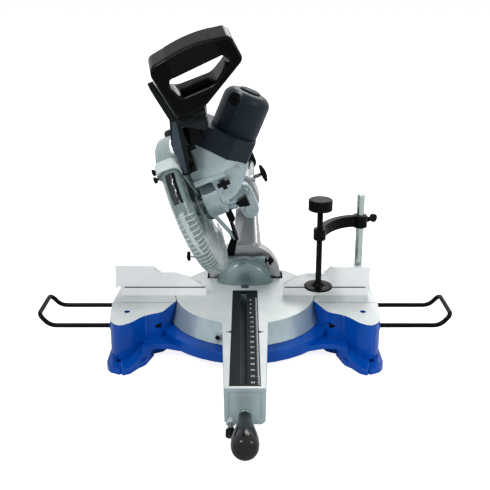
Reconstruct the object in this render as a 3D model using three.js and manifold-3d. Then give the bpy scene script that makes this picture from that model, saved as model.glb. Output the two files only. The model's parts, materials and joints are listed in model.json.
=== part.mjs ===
// Sliding compound mitre saw, 255 mm blade, tilted 22.5 degrees to the left as it stands.
// Millimetres, +Z up, the fence faces -Y, and the origin is on the bench below the turntable's pivot.
import * as THREE from "three";
import { mergeVertices } from "three/addons/utils/BufferGeometryUtils.js";
import Module from "manifold-3d";

const wasm = await Module();
wasm.setup();
const { Manifold, CrossSection } = wasm;

// Clearances, and the length by which every cut runs past its solid.
const gap = { seat: 0.3, run: 0.6, swing: 1.5 };
const overrun = 3;
const sink = 1;
const far = 900;
const degree = Math.PI / 180;

// Driving sizes of the base, the table and what stands on them.
const table = {
  height: 90, radius: 149, flare: 14, skirt: 41.7, plate: 7, wall: 6, hubRadius: 30, hubDepth: 28,
  flarePower: 1.6,
};
const arm = {
  reach: 229, knee: 86, root: 60, hollowBack: 100, frontHalf: 34.8, backHalf: 45, depth: 69,
  kneeDepth: 40, wall: 5, kneeRound: 20, kneeRun: 15, frontRun: 70, hollowDrop: 12, kneeInset: 7.5,
  chamfer: 8, chamferOut: 3, panelDepth: 1.5, panelInset: 7, panelFoot: 10,
};
const insert = {
  half: 26.3, thick: 2.5, frontMargin: 7, backRoom: 37, slotLeft: -9, slotRight: 3.5, slotMargin: 7,
  slotEnd: 12, ledge: 5, earRun: 31, earReach: 37, earLength: 9,
};
const ring = {
  outward: 41, inward: 11, drop: 42, seatDrop: 42.6, bottom: 25, hub: 45, hubDrop: 28.5, bore: 8,
  ribs: 6, ribWidth: 12, ribDrop: 46, ribIn: 6, ribOut: 4, firstAngle: 30,
};
const wing = {
  reach: 272, rear: 32, plate: 8, wall: 6, innerIn: 49, stepIn: 5, step: 42, waist: 97,
  waistShare: 0.154, notch: 112, notchShare: 0.447, heel: 146, heelShare: 0.626, toe: 158,
  toeShare: 0.805, corner: 138, cornerIn: 4, bulge: 6, bulgeAt: 58, rearRound: 14, bulgeRound: 30,
  cornerRound: 12, toeRoundShare: 0.43, heelRoundShare: 0.52, notchRound: 16, waistRound: 8, ribIn: 72,
  ribFront: 113, cellIn: 114, groove: 1.2, grooveY: -53, holeIn: 32, holeY: -95, hole: 6, archRear: 2,
  archFront: -78, archTop: 28, archOut: 20, guide: 9, guideIn: 8, guideOut: 3, screwBore: 3,
};
const foot = {
  thick: 12, out: 2, rear: 70, front: 168, tip: 194, tipShare: 0.789, heel: 152, heelShare: 0.398,
  top: 112, topShare: 0.301, rearShare: 0.545, roundShare: 0.366, tipRoundShare: 0.575, heelRound: 8,
  boltIn: 22, boltY: -153, bolt: 6.5, backX: 150, backY: 160, backRadius: 24, backShare: 0.85,
  legRadius: 12, legShare: 0.94, legTopRadius: 14, legTopShare: 0.74, legHighShare: 0.74,
};
const apron = {
  thick: 11, outShare: 0.463, midShare: 0.26, inShare: 0.057, frontOut: 150, frontIn: 140, middle: 131,
  rearIn: 100, rearOut: 96, inner: 21, innermost: 39, round: 6,
};
const bar = {
  radius: 4.75, frontY: -98, rearY: -4, drop: 29, innerShare: 0.187, straight: 126, end: 147.25,
  rise: 24, corner: 14, boreIn: 12, boreOut: 28, screwIn: 47, screwStem: 3, screwHead: 9, screwThick: 8,
};
const fence = {
  face: -20, thick: 10, seam: 21, outerLeft: 2, outerRight: -8, top: 65.6, footBack: 22, footThick: 6,
  footOut: 7, lip: 5, lipTop: 37, lipHigh: 8, lipOut: 3, lipEnd: 4, knobIn: 67, knobRadius: 9.6,
  knobThick: 10, stud: 3, studStart: 6, ribThick: 8, ribHigh: 12, ribFirst: 8, ribSecond: 18, inner: 82,
  topRun: 80.4, shoulder: 97, shelf: 128, dip: 158, shelfShare: 0.68, dipShare: 0.44, toeShare: 0.12,
  stubIn: 10, stubOut: 1.5, stubSkin: 1, stubDrop: 7, stubRise: 6, leftShort: 10, rightShort: 2,
};
const post = {
  inward: 30, y: 5, radius: 8, rise: 220, depth: 22, boss: 14.3, bossRise: 28, web: 6, bevel: 2,
};
const clamp = {
  screwX: 151, screwY: -59, armRise: 148, armThick: 24, bossRadius: 12.5, postBoss: 15, armHalf: 8,
  bowX: 14, bowY: 36, bowPostX: 52, bowPostY: 2, screw: 6.25, screwTip: 1.5, knobRadius: 24.5,
  knobRise: 206, knobThick: 23, knobCap: 2, flute: 1.6, footRadius: 29, footRise: 38.5, footHigh: 7.5,
  footNeck: 10, footRim: 2.5, footRimIn: 2, footDish: 4, footNeckHigh: 5, socketHigh: 10, thumbLug: 10,
  thumbReach: 40, thumbLength: 30, thumbRadius: 9, thumbWidth: 7, thumbStem: 3, thumbCollar: 6,
  thumbCollarAt: 12, thumbCollarEnd: 16, thumbNeck: 4, thumbNeckAt: 18, thumbStemEnd: 22,
};
const mitre = {
  drop: 49, stem: 5, stemIn: 24, boreIn: 30, neckStart: 1.5, neckFirst: 7, neck: 11.3, neckAt: 4,
  waistOut: 0.4, waistAt: 18, swell: 3.5, swellAt: 36, shoulderIn: 5, shoulderAt: 52, bellyIn: 1,
  bellyNear: 66, belly: 23, bellyAt: 82, fallIn: 2, fallAt: 91, turnIn: 8, turnAt: 98, endIn: 15,
  endRound: 0.8, end: 102, pointerBeside: 7.94, pointerLean: -16, pointerIn: 4.4, pointerRise: 20,
  pointerHalf: 7, pointerThick: 1.2, pointerLong: 12, pointerTip: 18, pointerTipHalf: 2, pointerScrew: 4,
  pointerScrewAt: 5, pointerScrewOut: 2.6,
};
const index = {
  x: -24, inward: 1, drop: 65, leanAngle: 60, knob: 9, knobLength: 13, knobRound: 2, reach: 26, pin: 3.5,
  pinIn: 24, pinEnd: 3, travel: 5, cup: 7.2, springFrom: 5.5, springRadius: 4.8, wire: 0.8,
  springLength: 10, housing: 8, housingIn: 22, housingOut: 4, boreReach: 40,
};
const bevel = {
  drum: 58, drumThick: 20, drumRoom: 11, tiltDrum: 80, tiltThick: 34, bossRoom: 4, bossThick: 44,
  bossProud: 9, low: 38, fromAngle: -20, toAngle: 165, bolt: 8, bossHalf: 22, bossTop: 22, bossDepth: 24,
  bossShoulder: 14, leverHub: 15, leverThick: 14, leverLength: 78, leverRise: 14, leverArm: 8,
  leverSet: 2, flareHalf: 57, flareOut: 6, flareLow: 8, flareTop: 36, flareIn: 14, flareBack: 8,
  flareRound: 4, faceIn: 12, faceDeep: 3, faceBossIn: 24, faceBossFrom: 2, faceBossTo: 6, boltHead: 13,
  boltHeadRoom: 13.6, boltHeadFrom: 9, boltHeadTo: 2, boltFrom: 4, boltRecess: 12, boltEnd: 20,
  boltStart: 25, wellRoom: 3, wellSide: 5, tiltFace: 4, tiltFaceTop: 38,
};
const stop = {
  inFromBack: 9, rise: 50, near: 26, far: 44, half: 8, footNear: 10, footFar: 20, footDown: 20,
  footUp: 3, screw: 3, screwIn: 4, screwOut: 18, nut: 6.5, nutThick: 4, wingAt: 12, wingHalf: 9,
  wingRadius: 3.4, hubFrom: 11, hubTo: 19, hubRadius: 5,
};

// Driving sizes of the tilting group, in its own frame: Y as on the bench, Z up from the tilt axis.
const rail = {
  x: 75, upper: 192, lower: 150, radius: 12.5, wall: 3, front: 58, back: 480, bush: 15, endPlate: 14,
  endRadius: 19, endDepth: 5,
};
const housing = { front: 126, back: 196, radius: 21, bushIn: 1 };
const neck = {
  lowZ: 40, highZ: 62, left: 2, highLeft: 4, right: 50, radius: 7, lowIn: 6, highIn: 4, middleX: 40,
  middleZ: 132, middleRadius: 8, sideZ: 138, sideRadius: 10, frontIn: 8, middleBack: 12, sideBack: 4,
};
const lock = {
  y: 150, face: 102, boss: 11, stem: 4, stemPlay: 0.3, tipRoom: 0.6, knobFrom: 119, knobTo: 129,
  knobHalf: 15, knobEnd: 6, knobHub: 8, knobIn: 2, springRadius: 5.6, wire: 0.8, springRoom: 0.4,
};
const bracket = {
  thick: 6.7, lowX: -9, lowZ: 66, low: 10, highX: 10, highZ: 92, high: 8, lowHead: 5, lowProud: 4,
  highHead: 4.5, highProud: 3,
};
const carriage = {
  front: 60, back: 80, radius: 19, right: 40.6, rightThick: 11, left: -8, leftThick: 15, floorTop: 174,
  floorThick: 9, floorFront: 96, pivotY: 100, pivotZ: 200, pin: 8, pinLeft: 1.5, pinRight: 1,
  pinHead: 12, pinHeadOut: 5, top: 222, cheekBack: 122, backRound: 16, footRound: 4, frontLow: 176,
  frontHigh: 214, frontRound: 6, shoulderY: 92, shoulderRound: 8, kneeY: 88, kneeRound: 6, leftKneeY: 86,
  leftFrontY: 78, leftFrontRound: 10, leftRound: 12, bridgeLow: 178, bridgeHigh: 212,
};
const link = {
  left: 19.6, thick: 3, half: 9, freeHalf: 7.5, anchorY: 40, anchorZ: 114, freeY: -92, freeZ: 220.8,
  freePin: 3, pin: 4, anchorThick: 5, anchorHalf: 11, anchorRise: 12, anchorLow: 8, anchorTop: 14,
  bendY: 84, bendZ: 150, bendRound: 10, rootBack: 92, rootFront: 70, rootRound: 3, shelfOut: 16,
  shelfFront: 96.5, shelfBack: 120, shelfThick: 6, bridgeBack: 98, boltIn: 3, boltHead: 7,
  boltHeadIn: 5.5,
};
const head = {
  arborY: -110, arborZ: 252, left: 24.2, right: 40, knuckle: 19, knuckleLeft: 8, hub: 36, hubRight: 56,
  cap: 24, capRight: 62, capRise: 2, ledgeRight: 84, ledgeFront: -164, ledgeBack: -66, ledgeLow: 296,
  ledgeHigh: 307, wellLeft: 19, wellRight: 50,
};
const casing = {
  low: -226, high: -116, front: -174, back: -38, lowFront: -152, noseQ: -159, sideQ: -119,
  sideFront: -140, sideBack: -62, backQ: -146, lowRound: 6, noseRound: 4, sideRound: 8, backRound: 14,
  cornerRound: 10, step: 3, from: 236, to: 299.7, cutLow: 306, cutRadius: 300,
};
const block = {
  front: -150, back: -62, lowZ: 318, highZ: 346, shoulderX: 52, shoulderZ: 370.5, slopeX: 101,
  slopeZ: 322, noseX: 131, noseZ: 297, chinX: 108, chinZ: 270, jawX: 86, jawZ: 250, throatX: 58,
  throatZ: 246, rootX: 54, rootZ: 290, lowRound: 6, highRound: 10, noseRound: 4, chinRound: 8,
  jawRound: 10,
};
const rear = {
  endY: 118, endZ: 200, endRound: 14, topY: 104, topZ: 219, topRound: 10, backY: 40, backZ: 240,
  humpRound: 20, humpY: -20, humpZ: 292, frontY: -75, frontTop: 320, frontLow: 216, bellyY: -52,
  bellyZ: 226, bellyRound: 12, waistY: 10, waistZ: 205, kneeY: 60, kneeZ: 195, neckY: 86, neckZ: 183,
  neckRound: 8, heelY: 112, heelZ: 184,
};
const blade = {
  radius: 127.5, teeth: 36, toothDepth: 7, toothFace: 1.2, faceShare: 0.34, gulletShare: 0.74,
  left: -2.1, right: -0.3, bore: 15, flange: 22, flangeThick: 5, shaft: 8, boltHead: 9, boltThick: 6,
  boltLeft: -14.5, shaftLeft: -10, shaftRight: 48,
};
const guard = {
  left: -22, right: 18, clear: 14, skin: 2.4, fromAngle: -10, toAngle: 133, openAngle: 20, hub: 24,
  rim: 34, rib: 1.2, ribHalf: 1, firstRib: -14, ribPitch: 12, ribs: 3, rootIn: 0.5, collarAngle: 9,
  collar: 3, collarDeep: 26, collarLeft: 2.5, collarRight: 1.5, hollow: 30, hollowDeep: 10,
};
const lower = {
  left: -18.6, right: 14.6, clear: 10.3, skin: 2.2, fromAngle: 131, toAngle: 314, rimInner: 96,
  hubOuter: 40, hubInner: 24, spokeFromAngle: 200, spokeToAngle: 300, ribs: 18, ribHeight: 0.9,
  ribRoot: 0.5, ribAngle: 1.2,
};
const motor = {
  q: -163.3, y: -100, radius: 45, collarFrom: 300.3, collarTo: 340, collarBore: 20, collarDeep: 12,
  end: 419, round: 16, stripHalf: 14, stripProud: 4, stripRound: 3, stripShort: 10, vents: 6,
  ventFirst: -28, ventPitch: 10, ventWide: 4, ventIn: 6, ventOut: 4, ventFrom: 8, ventTo: 40,
  capRadius: 20, capThick: 3.7, brushAt: 380, brush: 11, brushDeep: 4, brushOut: 8, brushFrontProud: 5.2,
  brushBackProud: 1.2, slot: 4, slotDeep: 2,
};
const latch = {
  y: 18, z: 186, bossFrom: 30, bossTo: 58, boss: 8.5, webHalf: 6, webTop: 214, pin: 3.5, pinFrom: 32,
  knobFrom: 61, knobTo: 84, near: 6, wide: 12, nearRound: 2, wideRound: 3, half: 10,
};
const depth = {
  left: 30.5, right: 44, front: 17, back: 4, low: 26, high: 3, screwX: 37, screwY: 10, screwLow: 30,
  screwHigh: 20, screw: 5,
};
const spindle = {
  x: 75, z: 283, stem: 4, stemEnd: -134, front: -166, head: 12, thick: 6, half: 4, down: 10, up: 8,
  boreFront: -170, boreBack: -90,
};
const dust = {
  x: -2, atAngle: 32.3, inward: 4.3, riseAngle: 25, outer: 19, inner: 16.5, length: 46, floor: 9,
};
const handle = {
  front: -265, back: -218, leftLow: 50, leftLowZ: 528, leftX: 60, leftZ: 553, crownX: 130, crownZ: 560,
  rightX: 198, rightZ: 551, endX: 201, endZ: 489, footRight: 112, footRightZ: 441, footLeft: 62,
  footLeftZ: 438, corner: 8, sharp: 6, crown: 20, holeLeft: 73, holeLeftZ: 492, holeTopX: 76,
  holeTopZ: 503, holeRightX: 172, holeRightZ: 508, holeEndX: 180, holeEndZ: 494, holeLowX: 142,
  holeLowZ: 468, holeBackX: 82, holeRound: 4, stemIn: 4, stemRight: 110, stemLow: 436, stemHigh: 446,
  rootLeft: 52, rootRight: 92, rootFront: -196, rootBack: -150, rootLow: 392, rootHigh: 400,
  footFrom: 34, footTo: 90, footBack: -140, footLow: 384, footHigh: 404, pipeFrom: 14, pipeTo: 60,
  pipeY: -152, pipe: 11,
};
const trigger = { left: 98, right: 148, low: 514, high: 534, deep: 9, proud: 9, room: 4 };
const lever = {
  y: -180, z: 338, from: 22.6, to: 34, eye: 10, pin: 3.5, root: 8, pinHead: 6.5, pinOut: 2, pinHeadOut: 3,
  low: { left: 23, right: 31, front: -190, back: -180, bottom: 334, top: 344 },
  middle: { left: 24, right: 50, front: -206, back: -200, bottom: 386, top: 394 },
  high: { left: 42, right: 56, front: -216, back: -208, bottom: 428, top: 440 },
  thumb: { left: 38, right: 47, front: -240, back: -228, bottom: 486, top: 498 },
  tip: { left: 37, right: 45, front: -244, back: -232, bottom: 500, top: 510 },
};
const lug = {
  thick: 9, reach: 20, radius: 9, y: -162, z: 372, footY: 7, footZ: 9, heelY: 9, backY: -151,
  backLow: 346, backHigh: 376, crestY: -166, crestZ: 384, frontY: -169, frontZ: 354, kneeY: 1, kneeZ: 7,
  footRound: 7, heelRound: 4, backRound: 3, crestRound: 6, kneeRound: 5,
};
const roundness = [[4, 8], [7.5, 12], [30, 16], [100, 30], [Infinity, 40]];
const facetTolerance = 0.2;
const facetAngle = 9;
const restAngle = 22.5;
const coilSides = 5;
const coilStepsPerTurn = 8;
const indexTurns = 4;
const lockTurns = 5;

// Places worked out from the driving sizes.
const top = table.height;
const skirtBottom = top - table.skirt;
const ringOuter = table.radius + ring.outward;
const ringInner = table.radius - ring.inward;
const ringTop = top - ring.drop;
const barZ = top - bar.drop;
const wingShare = (share) => table.radius + share * (wing.reach - table.radius);
const barInner = wingShare(bar.innerShare);
const barScrewX = wing.reach - bar.screwIn;
const postX = wing.reach - post.inward;
const fenceLeft = wing.reach + fence.outerLeft;
const fenceRight = wing.reach + fence.outerRight;
const fenceBack = fence.face + fence.thick;
const fenceSeam = top + fence.seam;
const lowerFenceTop = fenceSeam - gap.run / 2;
const fenceKnobX = wing.reach - fence.knobIn;
const fenceKnobZ = (lowerFenceTop + top + gap.seat) / 2;
const armFront = -(table.radius + arm.reach);
const armBack = -table.radius - sink;
const armKneeY = -(table.radius + arm.knee);
const armBottom = top - arm.depth;
const armKneeZ = top - arm.kneeDepth;
const bossBack = table.radius + bevel.bossProud;
const bossFront = bossBack - bevel.bossThick;
const tiltBack = bossFront - bevel.bossRoom;
const tiltFront = tiltBack - bevel.tiltThick;
const drumBack = tiltFront - bevel.drumRoom;
const drumFront = drumBack - bevel.drumThick;
const stopY = drumBack - stop.inFromBack;
const stopZ = top + stop.rise;
const insertFront = armFront + insert.frontMargin;
const insertBack = drumFront - insert.backRoom;
const slotFront = insertFront + insert.slotMargin;
const slotBack = insertBack - insert.slotEnd;
const earY = armBack - insert.earRun;
const mitreZ = top - mitre.drop;
const clampArmLow = top + clamp.armRise;
const clampArmHigh = clampArmLow + clamp.armThick;
const thumbZ = (clampArmLow + clampArmHigh) / 2;
const clampKnobLow = top + clamp.knobRise;
const clampFootLow = top + clamp.footRise;
const clampFootHigh = clampFootLow + clamp.footHigh;
const postTop = top + post.rise;
const postBottom = top - post.depth;
const bossTop = top + post.bossRise;
const guardOuter = blade.radius + guard.clear;
const lowerOuter = blade.radius + lower.clear;
const railLine = [rail.upper, rail.lower];
const anchorTop = carriage.floorTop - carriage.floorThick - gap.seat;

// Solids from three.js geometries.
function solid(geometry) {
  const bare = geometry.index ? geometry.toNonIndexed() : geometry;
  const points = new THREE.BufferGeometry().setAttribute("position", bare.getAttribute("position"));
  const merged = mergeVertices(points, 1e-4);
  const vertProperties = merged.attributes.position.array;
  const triVerts = new Uint32Array(merged.index.array);
  return new Manifold(new wasm.Mesh({ numProp: 3, vertProperties, triVerts }));
}

// Sides of a round piece by its radius: few on a pin, more on a drum.
function arcSteps(radius) {
  const grade = roundness.find(([upTo]) => radius < upTo);
  return grade[1];
}

// A closed outline whose corners are [u, v, corner radius]; a round corner is a quadratic curve.
function outline(corners) {
  const shape = new THREE.Shape();
  corners.forEach(([u, v, radius = 0], i) => {
    const here = new THREE.Vector2(u, v);
    const last = new THREE.Vector2(...corners.at(i - 1).slice(0, 2));
    const next = new THREE.Vector2(...corners[(i + 1) % corners.length].slice(0, 2));
    const before = here.clone().add(last.sub(here).setLength(radius));
    const after = here.clone().add(next.sub(here).setLength(radius));
    if (i === 0) shape.moveTo(before.x, before.y);
    else shape.lineTo(before.x, before.y);
    if (radius > 0) shape.quadraticCurveTo(here.x, here.y, after.x, after.y);
  });
  shape.closePath();
  return shape;
}

function section(shape, steps = 3) {
  const loop = shape.getPoints(steps).map((p) => [p.x, p.y]);
  return new CrossSection([loop], "EvenOdd");
}

const drawn = (corners, steps) => section(outline(corners), steps);
const disc = (radius, u = 0, v = 0) => CrossSection.circle(radius, arcSteps(radius)).translate(u, v);
const turn = (body, matrix) => body.transform(matrix.toArray());
const basis = (...axes) => new THREE.Matrix4().makeBasis(...axes.map((axis) => new THREE.Vector3(...axis)));
const towardsX = basis([0, 1, 0], [0, 0, 1], [1, 0, 0]);
const towardsY = basis([1, 0, 0], [0, 0, 1], [0, -1, 0]);
const motorAxes = basis([Math.SQRT1_2, 0, -Math.SQRT1_2], [0, 1, 0], [Math.SQRT1_2, 0, Math.SQRT1_2]);

// A section drawn in (x, y), (y, z), (x, z) or across the motor's axis, carried along the third axis.
const alongZ = (flat, low, high) => flat.extrude(high - low).translate(0, 0, low);
const alongX = (flat, low, high) => turn(flat.extrude(high - low), towardsX).translate(low, 0, 0);
const alongY = (flat, low, high) => turn(flat.extrude(high - low), towardsY).translate(0, high, 0);
const alongMotor = (flat, from, to) => turn(alongZ(flat, from, to), motorAxes);

// A box between two places on each axis, given in any order.
function box(...spans) {
  const size = spans.map(([a, b]) => Math.abs(b - a));
  const middle = spans.map(([a, b]) => (a + b) / 2);
  return solid(new THREE.BoxGeometry(...size)).translate(middle);
}

// A solid turned about Z from a profile of [radius, height] points that starts and ends on the axis.
function turned(profile, steps = arcSteps(Math.max(...profile.map(([r]) => r)))) {
  const points = profile.map(([r, z]) => new THREE.Vector2(r, z));
  return solid(new THREE.LatheGeometry(points, steps).rotateX(Math.PI / 2));
}

// Moves a solid modelled along +Z from the origin onto the line from a point along a direction.
function aimed(body, from, direction) {
  const towards = new THREE.Vector3(...direction).normalize();
  const spin = new THREE.Quaternion().setFromUnitVectors(new THREE.Vector3(0, 0, 1), towards);
  const place = new THREE.Matrix4().makeRotationFromQuaternion(spin).setPosition(...from);
  return turn(body, place);
}

function rod(from, to, radius, steps = arcSteps(radius)) {
  const span = new THREE.Vector3(...to).sub(new THREE.Vector3(...from));
  const body = alongZ(CrossSection.circle(radius, steps), 0, span.length());
  return aimed(body, from, span.toArray());
}

// Rods that lie along X or along Y at one place of the other two axes.
const rodX = (x0, x1, y, z, radius, steps) => rod([x0, y, z], [x1, y, z], radius, steps);
const rodY = (y0, y1, x, z, radius, steps) => rod([x, y0, z], [x, y1, z], radius, steps);
const rodZ = (z0, z1, x, y, radius, steps) => rod([x, y, z0], [x, y, z1], radius, steps);

const join = (...bodies) => Manifold.union(bodies);
const wrap = (...bodies) => Manifold.hull(bodies);
const mirrored = (body) => body.mirror([1, 0, 0]);

// A slice of a ring, its angles in degrees.
function sector(inner, outer, from, to) {
  const count = Math.max(2, Math.ceil(Math.abs(to - from) / facetAngle));
  const at = (radius, i) => {
    const angle = (from + ((to - from) * i) / count) * degree;
    return [radius * Math.cos(angle), radius * Math.sin(angle)];
  };
  const outside = Array.from({ length: count + 1 }, (_, i) => at(outer, i));
  const inside = inner > 0 ? Array.from({ length: count + 1 }, (_, i) => at(inner, count - i)) : [[0, 0]];
  return new CrossSection([[...outside, ...inside]], "NonZero");
}

// A round bar through a list of [place, direction] rings, closed at both ends.
function sweep(rings, radius, sides) {
  const positions = [];
  let reference = new THREE.Vector3(Math.SQRT1_2, Math.SQRT1_2, 2).normalize();
  for (const [place, direction] of rings) {
    const across = reference.clone().addScaledVector(direction, -reference.dot(direction)).normalize();
    const other = new THREE.Vector3().crossVectors(direction, across);
    reference = across;
    for (let i = 0; i < sides; i++) {
      const angle = (i * 2 * Math.PI) / sides;
      const p = place.clone().addScaledVector(across, radius * Math.cos(angle));
      p.addScaledVector(other, radius * Math.sin(angle));
      positions.push(p.x, p.y, p.z);
    }
  }
  const faces = [];
  for (let r = 0; r < rings.length - 1; r++)
    for (let i = 0; i < sides; i++) {
      const a = r * sides + i;
      const b = r * sides + ((i + 1) % sides);
      faces.push(a, b, b + sides, a, b + sides, a + sides);
    }
  const end = (rings.length - 1) * sides;
  for (let i = 1; i < sides - 1; i++) faces.push(0, i + 1, i, end, end + i, end + i + 1);
  const data = { numProp: 3, vertProperties: new Float32Array(positions), triVerts: new Uint32Array(faces) };
  return new Manifold(new wasm.Mesh(data));
}

// A coil spring of one wire round the Z axis; it prints the least gap that the wire keeps to itself.
function coil(name, radius, wire, length, turns) {
  const steps = turns * coilStepsPerTurn;
  const climb = length - 2 * wire;
  const rings = Array.from({ length: steps + 1 }, (_, i) => {
    const angle = (i * 2 * Math.PI) / coilStepsPerTurn;
    const x = radius * Math.cos(angle);
    const y = radius * Math.sin(angle);
    const slope = climb / (turns * 2 * Math.PI);
    return [new THREE.Vector3(x, y, wire + (climb * i) / steps), new THREE.Vector3(-y, x, slope).normalize()];
  });
  let least = Infinity;
  rings.forEach(([here], i) => {
    const others = rings.slice(i + coilStepsPerTurn / 2);
    least = Math.min(least, ...others.map(([there]) => here.distanceTo(there)));
  });
  console.log(`${name}: least gap to itself ${(least - 2 * wire).toFixed(2)} mm`);
  return sweep(rings, wire, coilSides);
}

// Finishes, from the photograph.
const finish = (color, roughness, metalness, extra = {}) =>
  new THREE.MeshStandardMaterial({ color, roughness, metalness, ...extra });
const looks = {
  blue: finish(0x0a4fb5, 0.35, 0.1),
  machined: finish(0xd9dcdb, 0.3, 0.85),
  cast: finish(0xa9babd, 0.5, 0.4),
  dome: finish(0x6f8488, 0.45, 0.4),
  column: finish(0x7d7d80, 0.45, 0.4),
  darkPlastic: finish(0x1e2a35, 0.55, 0),
  black: finish(0x0d0f10, 0.35, 0),
  insert: finish(0x22303a, 0.6, 0),
  steel: finish(0x9aa0a3, 0.3, 0.9),
  chrome: finish(0xd5dcd8, 0.12, 1),
  link: finish(0x5d7787, 0.45, 0.5),
  guard: finish(0xb8cfcc, 0.3, 0, { transparent: true, opacity: 0.75 }),
  clear: finish(0xc9dcda, 0.15, 0, { transparent: true, opacity: 0.35 }),
  blade: finish(0xb9bec1, 0.25, 0.9),
};

// Names a finished solid, gives it its finish and adds it to its group.
function mesh(name, body, look, parent) {
  const data = body.simplify(facetTolerance).getMesh();
  const geometry = new THREE.BufferGeometry();
  geometry.setAttribute("position", new THREE.BufferAttribute(new Float32Array(data.vertProperties), 3));
  geometry.setIndex(new THREE.BufferAttribute(new Uint32Array(data.triVerts), 1));
  const flat = geometry.toNonIndexed();
  flat.computeVertexNormals();
  const made = new THREE.Mesh(flat, looks[look].clone());
  made.name = name;
  parent.add(made);
}

// The turntable's flared skirt from its top edge down, grown by a clearance.
function skirtProfile(extra) {
  const steps = 2;
  return Array.from({ length: steps + 1 }, (_, i) => {
    const fall = i / steps;
    return [table.radius + extra + table.flare * fall ** table.flarePower, top - table.skirt * fall];
  });
}

// The room that the turntable needs in the base.
function recess() {
  const side = skirtProfile(gap.swing);
  const seat = top - ring.seatDrop;
  const over = top + overrun;
  const foot = [side.at(-1)[0], seat];
  return turned([[0, seat], foot, ...side.reverse(), [table.radius + gap.swing, over], [0, over]]);
}

// One wing of the base: a hollow shell with a rib, a foot and an apron, its side arched below the bars.
function rightWing() {
  const w = wing;
  const toeEdge = Math.hypot(wingShare(w.toeShare) - wingShare(w.heelShare), w.toe - w.heel);
  const tipEdge = Math.hypot(w.reach + foot.out - wingShare(foot.tipShare), foot.tip - foot.front);
  const shell = drawn([
    [table.radius - w.innerIn, w.rear],
    [w.reach, w.rear, w.rearRound],
    [w.reach + w.bulge, -w.bulgeAt, w.bulgeRound],
    [w.reach - w.cornerIn, -w.corner, w.cornerRound],
    [wingShare(w.toeShare), -w.toe, w.toeRoundShare * toeEdge],
    [wingShare(w.heelShare), -w.heel, w.heelRoundShare * toeEdge],
    [wingShare(w.notchShare), -w.notch, w.notchRound],
    [wingShare(w.waistShare), -w.waist, w.waistRound],
    [table.radius - w.stepIn, -w.step],
    [table.radius - w.innerIn, -w.step],
  ], 2);
  const footPlan = drawn([
    [w.reach + foot.out, -foot.rear],
    [w.reach + foot.out, -foot.front, foot.roundShare * tipEdge],
    [wingShare(foot.tipShare), -foot.tip, foot.tipRoundShare * tipEdge],
    [wingShare(foot.heelShare), -foot.heel, foot.heelRound],
    [wingShare(foot.topShare), -foot.top],
    [wingShare(foot.rearShare), -foot.rear],
  ], 2);
  const apronPlan = drawn([
    [wingShare(apron.outShare), -apron.frontOut, apron.round],
    [wingShare(apron.midShare), -apron.middle],
    [wingShare(apron.inShare), -apron.middle],
    [table.radius - apron.inner, -apron.frontIn],
    [table.radius - apron.innermost, -apron.rearIn],
    [wingShare(apron.outShare), -apron.rearOut],
  ], 2);
  const ribX = w.reach - w.ribIn;
  const inside = shell.offset(-w.wall, "Miter");
  const half = w.wall / 2;
  const rib = box([ribX - half, ribX + half], [-w.ribFront, w.rear - sink], [ring.bottom, top - sink]);
  const cell = box([0, w.reach - w.cellIn], [-far, w.rear + overrun], [-overrun, ring.bottom]);
  const arch = box([ribX, w.reach + w.archOut], [w.archFront, w.archRear], [-overrun, w.archTop]);
  const guideAt = (y) => rodX(w.reach - w.guideIn, w.reach + w.guideOut, y, barZ, w.guide, 8);
  const footPad = alongZ(footPlan, 0, foot.thick);
  const apronPad = alongZ(apronPlan, ring.bottom, ring.bottom + apron.thick);
  return alongZ(shell, 0, top)
    .subtract(alongZ(inside, -overrun, top - w.plate))
    .add(rib)
    .subtract(cell)
    .subtract(arch)
    .add(join(footPad, apronPad, guideAt(bar.frontY), guideAt(bar.rearY)));
}

// Everything that is bored or milled out of one wing.
function wingCuts() {
  const w = wing;
  const holeX = w.reach - w.holeIn;
  const barBores = [bar.frontY, bar.rearY].map((y) =>
    rodX(barInner - bar.boreIn, w.reach + bar.boreOut, y, barZ, bar.radius + gap.run, 8),
  );
  const groove = box(
    [table.radius, w.reach + w.archOut],
    [w.grooveY - w.groove / 2, w.grooveY + w.groove / 2],
    [top - w.groove, top + overrun],
  );
  return join(
    ...barBores,
    groove,
    rodZ(-overrun, foot.thick + overrun, w.reach - foot.boltIn, foot.boltY, foot.bolt),
    rodZ(-overrun, foot.thick + overrun, foot.backX, foot.backY, foot.bolt),
    rodZ(top - w.plate - overrun, top + overrun, holeX, w.holeY, w.hole),
    rodZ(postBottom - gap.seat, top + overrun, postX, post.y, post.radius + gap.run / 2),
    rodY(0, w.rear + overrun, barScrewX, barZ, w.screwBore + gap.run / 2),
  );
}

// A rear foot and the leg that ties it to the ring.
function rearFoot() {
  const spot = (radius, share) => disc(radius, foot.backX * share, foot.backY * share);
  const pad = (share) => alongZ(spot(foot.backRadius, share), 0, foot.thick);
  const low = alongZ(spot(foot.legRadius, foot.legShare), 0, foot.thick);
  const legTop = ring.bottom + foot.legHighShare * (ringTop - ring.bottom);
  const high = alongZ(spot(foot.legTopRadius, foot.legTopShare), ring.bottom, legTop);
  return join(wrap(pad(1), pad(foot.backShare)), wrap(low, high));
}

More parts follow.
